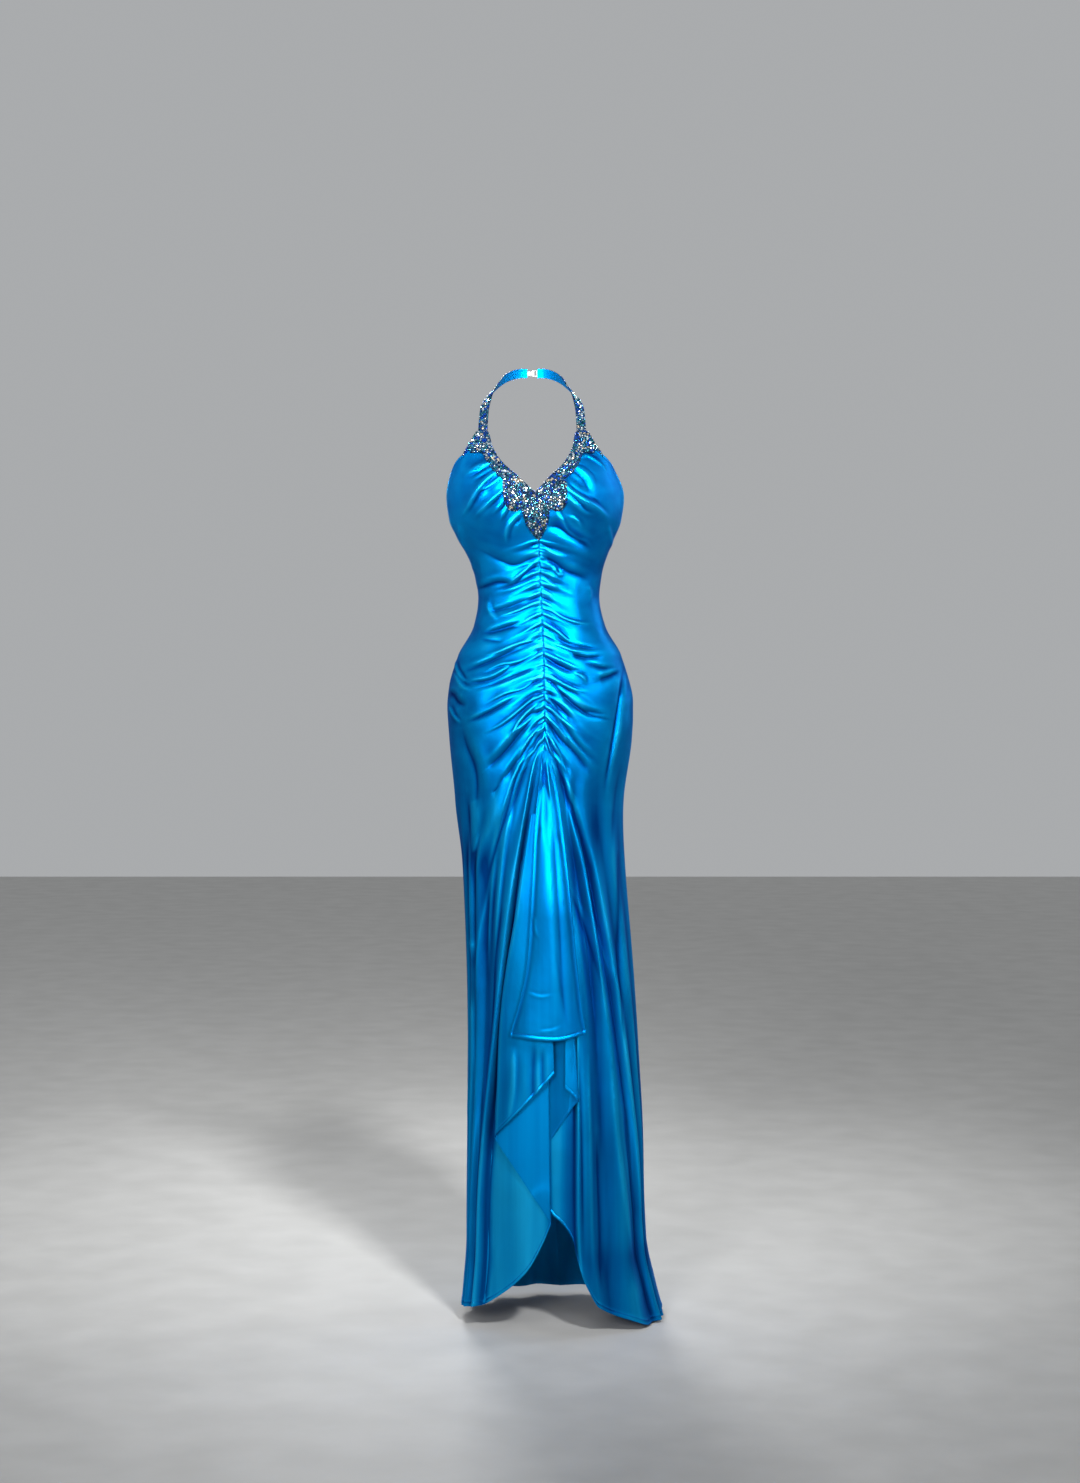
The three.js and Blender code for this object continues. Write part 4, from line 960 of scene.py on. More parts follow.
class Wardrobe:
    """All the finishes, made once."""

    def __init__(self) -> None:
        """Makes the cloths, the steel, the floor and a material for each colour of bead in their order."""
        self.satin = Satin().make()
        self.reverse = Satin(
            name="satin_reverse",
            trough=(0.0, 0.05, 0.2),
            deep=(0.0, 0.13, 0.37),
            bright=(0.0, 0.2, 0.5),
            crest=(0.0, 0.28, 0.6),
            metal=0.6,
            rough=(0.46, 0.58),
            wrinkle=0.0008,
        ).make()
        # The beaded ground: partly a dark navy net of its own and partly painted shade, kept near black for
        # the gaps between the beads.
        self.net = Plain("beaded_ground", (0.001, 0.006, 0.02), (0.003, 0.018, 0.05)).make()
        self.thread = Plain("sewing_thread", (0.0, 0.11, 0.4), (0.01, 0.2, 0.6)).make()
        self.tape = Plain("zip_tape_weave", (0.0, 0.07, 0.28), (0.0, 0.12, 0.4)).make()
        self.steel = Steel().make()
        floor = Plain("pale_floor", (0.5, 0.5, 0.49), (0.56, 0.56, 0.55), rough=(0.5, 0.62), grain=60.0)
        self.floor = floor.make()
        self.beads = []
        tones = {
            Colour.SILVER: ((0.16, 0.24, 0.28), (0.8, 0.88, 0.9)),
            Colour.AQUA: ((0.02, 0.16, 0.24), (0.14, 0.42, 0.54)),
            Colour.TEAL: ((0.003, 0.06, 0.08), (0.02, 0.2, 0.23)),
            Colour.ROYAL: ((0.002, 0.03, 0.34), (0.01, 0.12, 0.62)),
            Colour.NAVY: ((0.001, 0.008, 0.04), (0.006, 0.03, 0.12)),
            Colour.CHAMPAGNE: ((0.3, 0.25, 0.18), (0.72, 0.64, 0.5)),
        }
        for colour, pair in tones.items():
            self.beads.append(Bead(f"bead_{colour.name.lower()}", *pair).make())


# A panel's outward direction has no x at its first column, a centre seam, and no y at its last one.
SEAM_COLUMNS = ((0, 0), (-1, 1))


@dataclass
class ClothPiece:
    """A piece of cloth that stands for one CAD node, on its form and finer."""

    wardrobe: Wardrobe
    thick: float = CLOTH
    thread_gap: float = 0.06
    level: tuple = ()
    node: str = ""
    facing: int = 1
    flat: tuple = (0.3, 1.0)
    area: float | None = None
    hold: Hold = Hold.HUNG
    hangs_from: tuple = ()
    lining: Lining = Lining()

    def grid(self) -> Array:
        """The middle points of the cloth in mm."""
        raise NotImplementedError

    def build(self) -> bpy.types.Object:
        """Returns:
            The cloth.
        """
        grid = self.grid()
        mesh = shell(f"{self.node}_cloth", grid, self.facing, self.thick, self.level, self.lining)
        cloth = add_object(f"{self.node}_cloth", mesh, [self.wardrobe.satin, self.wardrobe.reverse])
        declare(cloth, self.node)
        lift = self.thick / 2 + self.thread_gap
        line = grid[STITCH_ROW] + grid_normals(grid, self.facing)[STITCH_ROW] * lift
        stitches = Stitching(self.wardrobe, f"{self.node}_hem_stitches", line).build()
        log.info("%s: %d faces, %.4f square metres", cloth.name, len(mesh.polygons), grid_area(grid))
        return cloth


@dataclass
class Stitching:
    """A line of short stitches along a path."""

    wardrobe: Wardrobe
    name: str
    line: Array
    every: float = 3.2
    long: float = 2.1
    thick: float = 0.35

    def build(self) -> bpy.types.Object:
        """Builds the stitches as one mesh."""
        length = np.linalg.norm(np.diff(self.line, axis=0), axis=1).sum()
        count = max(4, int(length / self.every))
        path = spline(self.line, 2 * count + 1)
        parts = []
        corners = np.array([[0, -1, -1], [0, 1, -1], [0, 1, 1], [0, -1, 1]]) * self.thick / 2
        faces = [(0, 1, 2, 3), (7, 6, 5, 4), (0, 4, 5, 1), (1, 5, 6, 2), (2, 6, 7, 3), (3, 7, 4, 0)]
        for i in range(1, 2 * count, 2):
            along = unit(path[i + 1] - path[i - 1])
            side = unit(np.cross(along, (0.0, 0.0, 1.0)))
            turned = corners[:, 1:2] * side + corners[:, 2:3] * np.cross(side, along)
            half = along * self.long / 2
            parts.append((np.vstack([path[i] - half + turned, path[i] + half + turned]), faces, 0))
        obj = add_object(self.name, soup(self.name, parts), [self.wardrobe.thread])
        declare(obj)
        return obj


@dataclass(frozen=True)
class FoldLine:
    """Where one fold lies across a front at each level, and how far it stands out below the fan."""

    name: str
    across: tuple
    out: float


RIGHT_FOLDS = (
    FoldLine("seam", (0, 0, 0, 0, 0, 0, 0), -9),
    FoldLine("recess", (0.035, 0.012, 0.03, 0.08, 0.16, 0.26, 0.28), -10),
    FoldLine("groove", (0.08, 0.028, 0.06, 0.17, 0.365, 0.54, 0.56), -9),
    FoldLine("crest", (0.14, 0.045, 0.085, 0.21, 0.415, 0.6, 0.62), 9),
    FoldLine("shoulder", (0.2, 0.075, 0.12, 0.29, 0.47, 0.65, 0.67), 1),
    FoldLine("valley", (0.3, 0.14, 0.18, 0.44, 0.56, 0.72, 0.74), -4),
    FoldLine("swell", (0.41, 0.23, 0.27, 0.56, 0.64, 0.77, 0.79), 4),
    FoldLine("dip_1", (0.545, 0.35, 0.38, 0.63, 0.7, 0.81, 0.83), -3),
    FoldLine("swell_1", (0.63, 0.47, 0.5, 0.7, 0.76, 0.85, 0.87), 3),
    FoldLine("dip_2", (0.72, 0.6, 0.62, 0.77, 0.82, 0.885, 0.9), -2),
    FoldLine("swell_2", (0.8, 0.71, 0.73, 0.84, 0.87, 0.92, 0.93), 1.5),
    FoldLine("dip_3", (0.88, 0.82, 0.83, 0.9, 0.92, 0.95, 0.955), -1),
    FoldLine("swell_3", (0.94, 0.91, 0.92, 0.95, 0.96, 0.975, 0.98), 0.5),
    FoldLine("side", (1, 1, 1, 1, 1, 1, 1), 0),
)
LEFT_FOLDS = (
    FoldLine("seam", (0, 0, 0, 0, 0, 0, 0), -8),
    FoldLine("recess", (0.035, 0.008, 0.015, 0.035, 0.08, 0.07, 0.09), -8),
    FoldLine("groove", (0.08, 0.016, 0.026, 0.055, 0.135, 0.12, 0.15), -7),
    FoldLine("crest", (0.14, 0.028, 0.04, 0.078, 0.168, 0.15, 0.185), 4),
    FoldLine("swell", (0.2, 0.05, 0.08, 0.15, 0.24, 0.24, 0.25), 2),
    FoldLine("valley", (0.3, 0.1, 0.125, 0.21, 0.32, 0.34, 0.33), -6),
    FoldLine("swell_1", (0.41, 0.16, 0.165, 0.275, 0.42, 0.52, 0.52), 5),
    FoldLine("long_fold", (0.545, 0.25, 0.21, 0.335, 0.53, 0.7, 0.74), -7),
    FoldLine("swell_2", (0.63, 0.36, 0.29, 0.4, 0.59, 0.76, 0.8), 4),
    FoldLine("dip_2", (0.72, 0.5, 0.42, 0.51, 0.67, 0.82, 0.86), -2.5),
    FoldLine("swell_3", (0.8, 0.63, 0.57, 0.63, 0.76, 0.87, 0.9), 2),
    FoldLine("dip_3", (0.88, 0.76, 0.72, 0.76, 0.84, 0.92, 0.94), -1.5),
    FoldLine("swell_4", (0.94, 0.88, 0.86, 0.88, 0.92, 0.96, 0.97), 0.5),
    FoldLine("side", (1, 1, 1, 1, 1, 1, 1), 0),
)


@dataclass(frozen=True)
class Ridge:
    """A broad soft ridge on a cup, from one end to the other, in distance from the centre seam."""

    side: float
    z: float
    to_side: float
    to_z: float
    out: float
    width: float

    def height(self, side: Array, z: Array) -> Array:
        """How far the ridge stands out."""
        dx, dz = self.to_side - self.side, self.to_z - self.z
        length = math.hypot(dx, dz)
        t = ((side - self.side) * dx + (z - self.z) * dz) / length**2
        away = ((side - self.side) * dz - (z - self.z) * dx) / length
        taper = smooth(t, -0.12, 0.15) * (1 - smooth(t, 0.6, 1.1))
        return self.out * taper * bell(away, 0, self.width)


RIGHT_CUP = (
    Ridge(56, -176, 116, -250, 3.2, 9),
    Ridge(52, -214, 92, -258, 3.2, 9),
    Ridge(68, -166, 108, -182, 2.4, 8),
    Ridge(34, -262, 62, -296, 2.6, 9),
)
LEFT_CUP = (
    Ridge(44, -176, 84, -216, -3.4, 9),
    Ridge(38, -197, 113, -258, 3.4, 9),
    Ridge(42, -222, 92, -246, 2.8, 9),
    Ridge(20, -262, 86, -304, -3.8, 10),
)


@dataclass(frozen=True)
class Ruching:
    """The gathers' heights and how far they reach from the centre seam, in mm."""

    ridge: float = 1.95
    ridge_varies: float = 0.85
    reach: float = 19.0
    reach_varies: float = 30.0
    pucker: float = 1.4
    pucker_reach: float = 15.0
    crimp: float = 0.5
    crimp_reach: float = 10.0


RUCHING = Ruching()

# The fronts' hems: share of the way from the centre to the side seam, and height.
RIGHT_HEM = ((0, -1408), (0.06, -1442), (0.17, -1485), (0.38, -1525), (0.6, -1550), (0.83, -1560), (1, -1563))
LEFT_HEM = ((0, -1388), (0.14, -1432), (0.19, -1500), (0.25, -1542), (0.46, -1567), (0.66, HEM), (1, -1578))


@dataclass
class Front(ClothPiece):
    """One front: cup, ruched middle and skirt in one length, from the neck to the hem."""

    side: Side = Side.RIGHT
    folds: tuple = RIGHT_FOLDS
    cup_ridges: tuple = RIGHT_CUP
    creases: tuple = RIGHT_CREASES
    hem: tuple = RIGHT_HEM
    seed: int = 3
    steps: tuple = (6, 7, 10, 11, 17, 18, 20, 13, 13, 11, 10, 7, 7)
    lining: Lining = Lining(3, 1.6, 14)
    level: tuple = SEAM_COLUMNS
    flat: tuple = (0.36, 1.6)
    area: float | None = 0.36
    hold: Hold = Hold.GATHERED
    hem_offsets: tuple = (11, 9, 7.5, 6.5, 5.5, 4.5, 3.5, 2.5, 1.5, 0.8, 0)
    skirt_length: float = 750.0
    cup: tuple = (62.0, -212.0, 29.0, 42.0, 48.0)
    neck_rows: tuple = (0, 0.04, 0.09, 0.16)
    bodice_from: float = 0.25
    hem_band: float = 0.32
    point_rows: tuple = (158, 240, 110)
    seam_groove: float = 1.5
    seam_start: tuple = (250, 285)
    armhole_start: tuple = (6.5, 8)
    side_groove: float = 0.8
    half_girth: float = 150.0
    top_edge: tuple = (
        (0, -213), (0.08, -190), (0.2, -165), (0.3, -140), (0.41, -111), (0.545, -110),
        (0.63, -145), (0.72, -154), (0.8, -166), (0.88, -212), (0.94, -250), (1, -300),
    )

    def by_fold(self, values: list, column: Array) -> Array:
        """Values that are given one to a fold, read at fractional columns."""
        given = np.array(values, float).reshape(-1, *(1,) * column.ndim)
        return at_column(given * np.ones_like(column), column)

    def line_height(self, row: Array, column: Array) -> Array:
        """The height of a fractional row at a fractional column."""
        u = self.by_fold([fold.across[0] for fold in self.folds], column)
        hem_u = self.by_fold([fold.across[-1] for fold in self.folds], column)
        share = np.clip((row - BODICE_ROWS) / GATHER_LINES, 0, 1)
        bend = 1 - np.clip(1 - u, 0, 1) ** 1.5
        gather = mix(mix(GATHER_TOP, GATHER_END, share), mix(GATHER_SIDE_TOP, GATHER_SIDE_END, share), bend)
        bodice = mix(Curve(self.top_edge)(u), gather, row / BODICE_ROWS)
        skirt = mix(gather, Curve(self.hem)(hem_u), (row - LAST_GATHER) / SKIRT_ROWS)
        return np.where(row < BODICE_ROWS, bodice, np.where(row > LAST_GATHER, skirt, gather))

    def gathers(self, row: Array, z: Array, distance: Array, u: Array) -> Array:
        """How far the ruching stands out: round ridges, narrow troughs and fine puckers."""
        shifts = np.random.default_rng(self.seed).uniform(-1, 1, 6)
        phase = row - BODICE_ROWS
        # The ridges, two rows each, which swing a little away from the seam.
        drift = 0.34 * np.sin(phase * 0.9 + shifts[0] * 3) * smooth(distance, 4, 40)
        wave = 1 - 2 * np.abs(np.sin(math.pi * (phase + drift) / 2)) ** 1.05
        inside = smooth(phase, -0.6, 0.4) * (1 - 0.75 * smooth(phase, GATHER_LINES - 2, GATHER_LINES))
        inside = inside * (1 - smooth(phase, GATHER_LINES, GATHER_LINES + 2.5))
        # Their height and how far they reach from the seam differ from one to the next.
        height = RUCHING.ridge + RUCHING.ridge_varies * np.sin(phase * 2.4)
        longer = (0.5 + 0.5 * np.sin(phase * 1.7 + 1)) * (0.6 + 0.4 * np.sin(z * 0.021 + shifts[5]))
        reach = RUCHING.reach + RUCHING.reach_varies * longer
        near = 0.45 + 0.55 * smooth(distance, 0, 12)
        out = wave * height * near * np.exp(-((distance / reach) ** 1.4))
        # Small puckers at the seam, and finer crimps between them.
        wobble = 1.1 * np.sin(z * 0.11 + shifts[1] * 4) + 0.8 * np.sin(z * 0.047 + shifts[2] * 4)
        pucker = np.cos(math.pi * phase * 1.37 + wobble + 0.05 * distance)
        size = RUCHING.pucker * (0.65 + 0.35 * np.sin(z * 0.083 + shifts[3] * 5))
        out += size * pucker * smooth(distance, 0, 3) * bell(distance, 0, RUCHING.pucker_reach)
        crimp = np.cos(math.pi * phase * 2.93 + 1.7 * np.sin(z * 0.19 + shifts[4] * 4) + 0.09 * distance)
        out += RUCHING.crimp * crimp * smooth(distance, 0, 2) * bell(distance, 0, RUCHING.crimp_reach)
        return out * inside * (1 - u)

    def point(self, row: Array, column: Array, detail: bool = True) -> Array:
        """The middle of the cloth at fractional rows and columns.

        Args:
            row: Rows, 0 at the top edge.
            column: Columns, 0 at the centre seam.
            detail: False for the plain form under the trim, with no creases or gathers.

        Returns:
            The points in mm.
        """
        side = self.side.value
        z = self.line_height(row, column)
        across = np.stack([Curve(tuple(zip(LEVELS, fold.across)))(z) for fold in self.folds])
        u = at_column(across, column)
        start = FORM.angle_of_x(FORM.centre_x(z), z)
        angle = mix(start, 0.0 if side > 0 else math.pi, u)
        at = FORM.point(angle, z)
        x = at[..., 0]
        distance = np.abs(x - FORM.centre_x(z))
        cup_side, cup_z, depth, wide, down = self.cup
        off = (np.abs(x - FORM.value(MIDDLE, z)) - cup_side) / wide
        out = depth * np.exp(-(off**2 + ((z - cup_z) / down) ** 2) / 2) * (1 - smooth(u, 0.85, 1))
        for ridge in self.cup_ridges:
            out = out + ridge.height(distance, z)
        out = out + self.by_fold([fold.out for fold in self.folds], column) * growth(z)
        if detail:
            out += self.gathers(row, z, distance, u)
            out += creased(self.creases, x, z) * (1 - smooth(u, 0.95, 1))
            calm = smooth(distance, 0, 25) * (1 - smooth(u, 0.93, 1))
            out += wavy(x, z, self.seed) * calm
            out -= self.seam_groove * bell(distance, 0, 1.5) * smooth(-z, *self.seam_start)
            out -= self.side_groove * bell((1 - u) * self.half_girth, 0, 1.8)
            out += HEM_ROLL.height((LAST_ROW - row) * self.skirt_length / SKIRT_ROWS)
            under = self.line_height(0 * row, column) - z
            out += ARMHOLE_ROLL.height(under) * smooth(column, *self.armhole_start)
        return at + FORM.normal(angle, z) * out[..., None]

    def grid(self) -> Array:
        """The middle points of the cloth in mm."""
        parts = [np.linspace(i, i + 1, n, endpoint=False) for i, n in enumerate(self.steps)]
        columns = np.append(np.concatenate(parts), len(self.steps))
        offsets = np.array(self.hem_offsets) * SKIRT_ROWS / self.skirt_length
        ends = self.bodice_from, BODICE_ROWS, LAST_GATHER, LAST_ROW - self.hem_band
        spans = [np.linspace(*span, endpoint=False) for span in zip(ends, ends[1:], self.point_rows)]
        rows = np.concatenate([self.neck_rows, *spans, LAST_ROW - offsets])
        column, row = np.meshgrid(columns, rows)
        return self.point(row, column)

    def lifted(self, row: Array, column: Array, lift: float) -> tuple[Array, Array]:
        """Points above the plain form of this front, and the outward directions there."""
        facing = -self.side.value
        step = 0.06
        here = self.point(row, column, detail=False)
        across = self.point(row, column + step, False) - self.point(row, np.maximum(column - step, 0), False)
        down = self.point(row + step, column, False) - self.point(np.maximum(row - step, 0), column, False)
        normal = unit(np.cross(across, down) * facing)
        normal[..., 0] *= smooth(column, 0, 0.3)
        normal = unit(normal)
        return here + normal * lift, normal


@dataclass
class Back(ClothPiece):
    """One half of the back: a low open top edge, then a smooth seat and a full skirt."""

    side: Side = Side.RIGHT
    creases: tuple = BACK_RIGHT_CREASES
    foot: float = -1566.0
    seed: int = 11
    columns: int = 90
    rows: int = 300
    lining: Lining = Lining(3, 1.2, 8)
    level: tuple = SEAM_COLUMNS
    flat: tuple = (0.28, 1.28)
    area: float | None = 0.27
    zip_foot: float = -1572.0
    length: float = 1165.0
    half_girth: float = 160.0
    seam_groove: float = 0.8
    folds: tuple = (
        (0, -3), (0.12, 7), (0.25, -7), (0.38, 9), (0.52, -8),
        (0.66, 7), (0.8, -5), (0.91, 3), (1, 0),
    )
    top: tuple = ((0, -408), (0.3, -400), (0.6, -368), (0.85, -322), (1, -300))

    def point(self, share: Array, u: Array) -> Array:
        """The middle of the cloth at a share of the way down and a share from zip to side."""
        side = self.side.value
        top = Curve(self.top)(u)
        foot = mix(self.zip_foot, self.foot, u)
        z = mix(top, foot, share)
        angle = mix(1.5 * math.pi, 2 * math.pi if side > 0 else math.pi, u)
        out = Curve(self.folds)(u) * smooth(-z, 700, 1500)
        at = FORM.point(angle, z)
        x = at[..., 0]
        calm = smooth(u, 0, 0.1) * (1 - smooth(u, 0.93, 1))
        out = out + (creased(self.creases, x, z) + wavy(x, z, self.seed, 0.4)) * calm
        from_zip, from_side = u * self.half_girth, (1 - u) * self.half_girth
        out -= self.seam_groove * bell(from_zip, 0, 1.8) + self.seam_groove * bell(from_side, 0, 1.8)
        out += HEM_ROLL.height(z - foot)
        out += BACK_EDGE_ROLL.height(top - z)
        return at + FORM.normal(angle, z) * out[..., None]

    def grid(self) -> Array:
        """The middle points of the cloth in mm."""
        edge = np.array(EDGE_STEPS) / self.length
        shares = np.concatenate([edge, np.linspace(0.012, 0.988, self.rows), 1 - edge[::-1]])
        u, share = np.meshgrid(np.linspace(0, 1, self.columns), shares)
        return self.point(share, u)


# The cascade at each height: the drape's two edges, then the fold and the end of the right and of
# the left side piece, as x in mm.
DRAPE_LOW, DRAPE_HIGH, RIGHT_TURN, RIGHT_END, LEFT_TURN, LEFT_END = range(1, 7)
CASCADE_ROWS = (
    (-632, 17, 26, 14, 19, 40, 34),
    (-700, 10, 42, 4, 19, 46, 38),
    (-752, 5, 49, -5, 20, 50, 41),
    (-835, 1, 59, -18, 23, 55, 45),
    (-911, -3, 66, -29, 26, 60, 48),
    (-981, -9, 73, -41, 29, 64, 51),
    (-1049, -23, 81, -50, 32, 67, 53),
    (-1100, -36, 88, -54, 34, 70, 54),
    (-1200, -36, 88, -58, 37, 76, 54),
    (-1268, -36, 88, -61, 38, 78, 54),
)


def cascade(place: int, z: Array) -> Array:
    """One edge of the cascade's table at a height."""
    return Curve(tuple((row[0], row[place]) for row in CASCADE_ROWS))(z)


@dataclass
class CascadePiece(ClothPiece):
    """A hanging piece of the cascade, between a top line and its own hem."""

    top: float = -735.0
    rows: int = 120
    length: float = 420.0
    hem: tuple = ()
    creases: tuple = ()
    layer: float = 2.1
    seam: float = 1.6
    hold: Hold = Hold.FOLDED
    facing: int = -1

    def shares(self) -> Array:
        """The places across the cloth."""
        raise NotImplementedError

    def path(self, z: Array, w: Array) -> tuple[Array, Array]:
        """The x of the cloth and how far it stands out at a height and a place across."""
        raise NotImplementedError

    def outer(self, w: Array) -> Array:
        """1 where the cloth faces forward and can be seen, and 0 where it lies behind."""
        raise NotImplementedError

    def grid(self) -> Array:
        """The middle points of the cloth in mm."""
        edge = np.array(EDGE_STEPS) / self.length
        shares = np.append(np.linspace(0, 0.974, self.rows), 1 - edge[::-1])
        w, share = np.meshgrid(self.shares(), shares)
        foot = Curve(self.hem)(w)
        z = mix(self.top, foot, share)
        x, out = self.path(z, w)
        relief = creased(self.creases, x, z) + wavy(x, z, 29, 0.16)
        relief += CASCADE_ROLL.height(z - foot)
        relief += self.edge_roll(z, w)
        return FORM.drop(x, z, out + relief * self.outer(w))

    def edge_roll(self, z: Array, w: Array) -> Array:
        """A crisp line along each fold, where the piece has one."""
        return np.zeros_like(z)


@dataclass
class Drape(CascadePiece):
    """The centre drape: a crowned panel with both edges turned under."""

    top: float = -632.0
    rows: int = 190
    turn: float = 9.0
    hem: tuple = ((-1, -1096), (0.2, -1101), (1, -1091))
    under: tuple = (2.0, 20.0)
    side_out: tuple = (4.4, 23.5)
    crown: tuple = (5.6, 32.0)
    creases: tuple = DRAPE_CREASES

    def shares(self) -> Array:
        """The places across the drape: 0 is its middle, and past 1 the edge is turned under."""
        turned = 1 + np.array([0.02, 0.06, 0.12, 0.2, 0.32, 0.5, 0.75, 1.0])
        return np.concatenate([-turned[::-1], np.sin(np.linspace(-1, 1, 91) * math.pi / 2), turned])

    def path(self, z: Array, w: Array) -> tuple[Array, Array]:
        """The x of the cloth and how far it stands out."""
        k = growth(z)
        under, side, crown = (a + b * k for a, b in (self.under, self.side_out, self.crown))
        low, high = cascade(DRAPE_LOW, z), cascade(DRAPE_HIGH, z)
        past = np.maximum(np.abs(w) - 1, 0)
        share = np.clip((1 + w) / 2, 0, 1)
        turn = np.minimum(self.turn, 0.22 * (high - low) - 2)
        x = mix(low, high, share) - np.sign(w) * turn * past**1.6
        front = mix(side, crown, np.sin(math.pi * share))
        return x, np.where(past > 0, mix(side, under, past**0.4), front)

    def outer(self, w: Array) -> Array:
        """1 on the front panel, and 0 on the edges that are turned under."""
        return 1 - smooth(np.abs(w), 0.97, 1.03)

    def edge_roll(self, z: Array, w: Array) -> Array:
        """A crisp line along each turned edge, with a soft groove inside it."""
        inward = (1 - np.abs(w)) * (cascade(DRAPE_HIGH, z) - cascade(DRAPE_LOW, z)) / 2
        return DRAPE_ROLL.height(inward)


@dataclass
class SideFold(CascadePiece):
    """A side piece of the cascade, folded like a hairpin in plan."""

    side: Side = Side.RIGHT
    bend: tuple = (0.46, 0.54)

    def shares(self) -> Array:
        """The places across the cloth, closest together round the fold."""
        behind, before = self.bend
        back = np.linspace(0, behind, 24, endpoint=False)
        fold = np.linspace(behind, before, 14, endpoint=False)
        return np.concatenate([back, fold, np.linspace(before, 1, 34)])

    def ends(self, z: Array) -> tuple:
        """The start at the seam, the fold and the far end, each with x and how far out."""
        k = growth(z)
        side = self.side.value
        start = FORM.centre_x(z) + side * self.seam
        if self.side is Side.RIGHT:
            fold = cascade(RIGHT_TURN, z), 1.2 + 3 * k, 3.8 + 9.5 * k
            return (start, -9 * k + self.layer), fold, (cascade(RIGHT_END, z), 3.8 + 10.5 * k)
        fold = cascade(LEFT_TURN, z), 7.6 + 0 * k, 13.4 + 0 * k
        return (start, -8 * k + self.layer), fold, (cascade(LEFT_END, z), 14.0 + 0 * k)

    def path(self, z: Array, w: Array) -> tuple[Array, Array]:
        """The x of the cloth and how far it stands out."""
        (from_x, from_out), (fold_x, rear, front), (to_x, to_out) = self.ends(z)
        turn = (front - rear) / 2
        away = np.sign(from_x - fold_x)
        middle_x, middle_out = fold_x + away * turn, (front + rear) / 2
        first, last = self.bend
        behind, before = w / first, (w - last) / first
        angle = math.pi * (w - first) / (last - first)
        x = np.where(w > last, mix(middle_x, to_x, before), middle_x - away * turn * np.sin(angle))
        x = np.where(w < first, mix(from_x, middle_x, behind), x)
        out = np.where(w > last, mix(front, to_out, before), middle_out - turn * np.cos(angle))
        return x, np.where(w < first, mix(from_out, rear, behind), out)

    def outer(self, w: Array) -> Array:
        """1 on the front layer, and 0 on the layer behind it."""
        return smooth(w, self.bend[1], 0.6)


@dataclass
class Patch:
    """A piece of trim as a fine grid, with its outward directions, to set beads on."""

    points: Array
    normals: Array

    def at(self, row: Array, column: Array) -> tuple[Array, Array]:
        """Point and outward direction at shares down and across, 0 to 1."""
        rows, columns = self.points.shape[:2]
        a, b = row * (rows - 1), column * (columns - 1)
        i, j = np.minimum(a.astype(int), rows - 2), np.minimum(b.astype(int), columns - 2)
        s, t = (a - i)[..., None], (b - j)[..., None]
        found = []
        for layer in (self.points, self.normals):
            upper = mix(layer[i, j], layer[i, j + 1], t)
            found.append(mix(upper, mix(layer[i + 1, j], layer[i + 1, j + 1], t), s))
        return found[0], unit(found[1])

    def size(self) -> tuple[float, float]:
        """The middle lengths down and across in mm."""
        down = np.linalg.norm(np.diff(self.points[:, self.points.shape[1] // 2], axis=0), axis=1).sum()
        across = np.linalg.norm(np.diff(self.points[self.points.shape[0] // 2], axis=0), axis=1).sum()
        return float(down), float(across)


class Cut(Enum):
    """The cuts of bead: half length, half width and height in mm, and the facets round it."""

    SEED = (1.15, 1.15, 1.5, 6)
    CRYSTAL = (2.05, 2.05, 2.2, 8)
    STONE = (3.3, 2.2, 2.6, 8)

    def solid(self) -> tuple[Array, list]:
        """The bead's points and triangles, standing on z = 0."""
        half_long, half_wide, high, sides = self.value
        turn = (np.arange(sides) + 0.5) * 2 * math.pi / sides
        outline = np.stack([np.cos(turn), np.sin(turn)], 1)
        if self is Cut.STONE:
            outline = signed_power(outline, 0.45)
        outline = outline * (half_long, half_wide)
        rings = ((0.8, -0.2), (1.0, 0.38 * high), (0.55, high))
        points = [np.column_stack([outline * grow, np.full(sides, up)]) for grow, up in rings]
        points = np.vstack(points + [[[0, 0, -0.2], [0, 0, high * 1.02]]])
        faces = []
        for k in range(sides):
            n = (k + 1) % sides
            for ring in (0, sides):
                above = ring + sides
                faces += [(ring + k, ring + n, above + n), (ring + k, above + n, above + k)]
            faces += [(3 * sides, n, k), (3 * sides + 1, 2 * sides + k, 2 * sides + n)]
        return points, faces


# Stones and blue clusters whose places can be told in front view, with the x and z of each by turns.
ACCENTS = (
    (Cut.CRYSTAL, Colour.ROYAL, (-75.9, -125.4, -44.6, -165.0, 46.2, -165.0, 69.3, -117.2)),
    (Cut.CRYSTAL, Colour.ROYAL, (-79.2, -84.2, 75.9, -72.6, 69.3, -41.3)),
    (Cut.STONE, Colour.CHAMPAGNE, (-52.8, -153.5, -18.2, -194.7, -13.2, -217.8, 26.4, -194.7)),
    (Cut.STONE, Colour.CHAMPAGNE, (-80.9, -110.6, 74.3, -102.3, 56.0, -146.5)),
    (Cut.CRYSTAL, Colour.SILVER, (-65.0, -139.0, 63.0, -134.0, 82.0, -119.0)),
    (Cut.CRYSTAL, Colour.AQUA, (78.0, -87.0)),
)


def colours(names: str) -> tuple:
    """The colours of a list of names, in their order."""
    return tuple(Colour[name] for name in names.split())


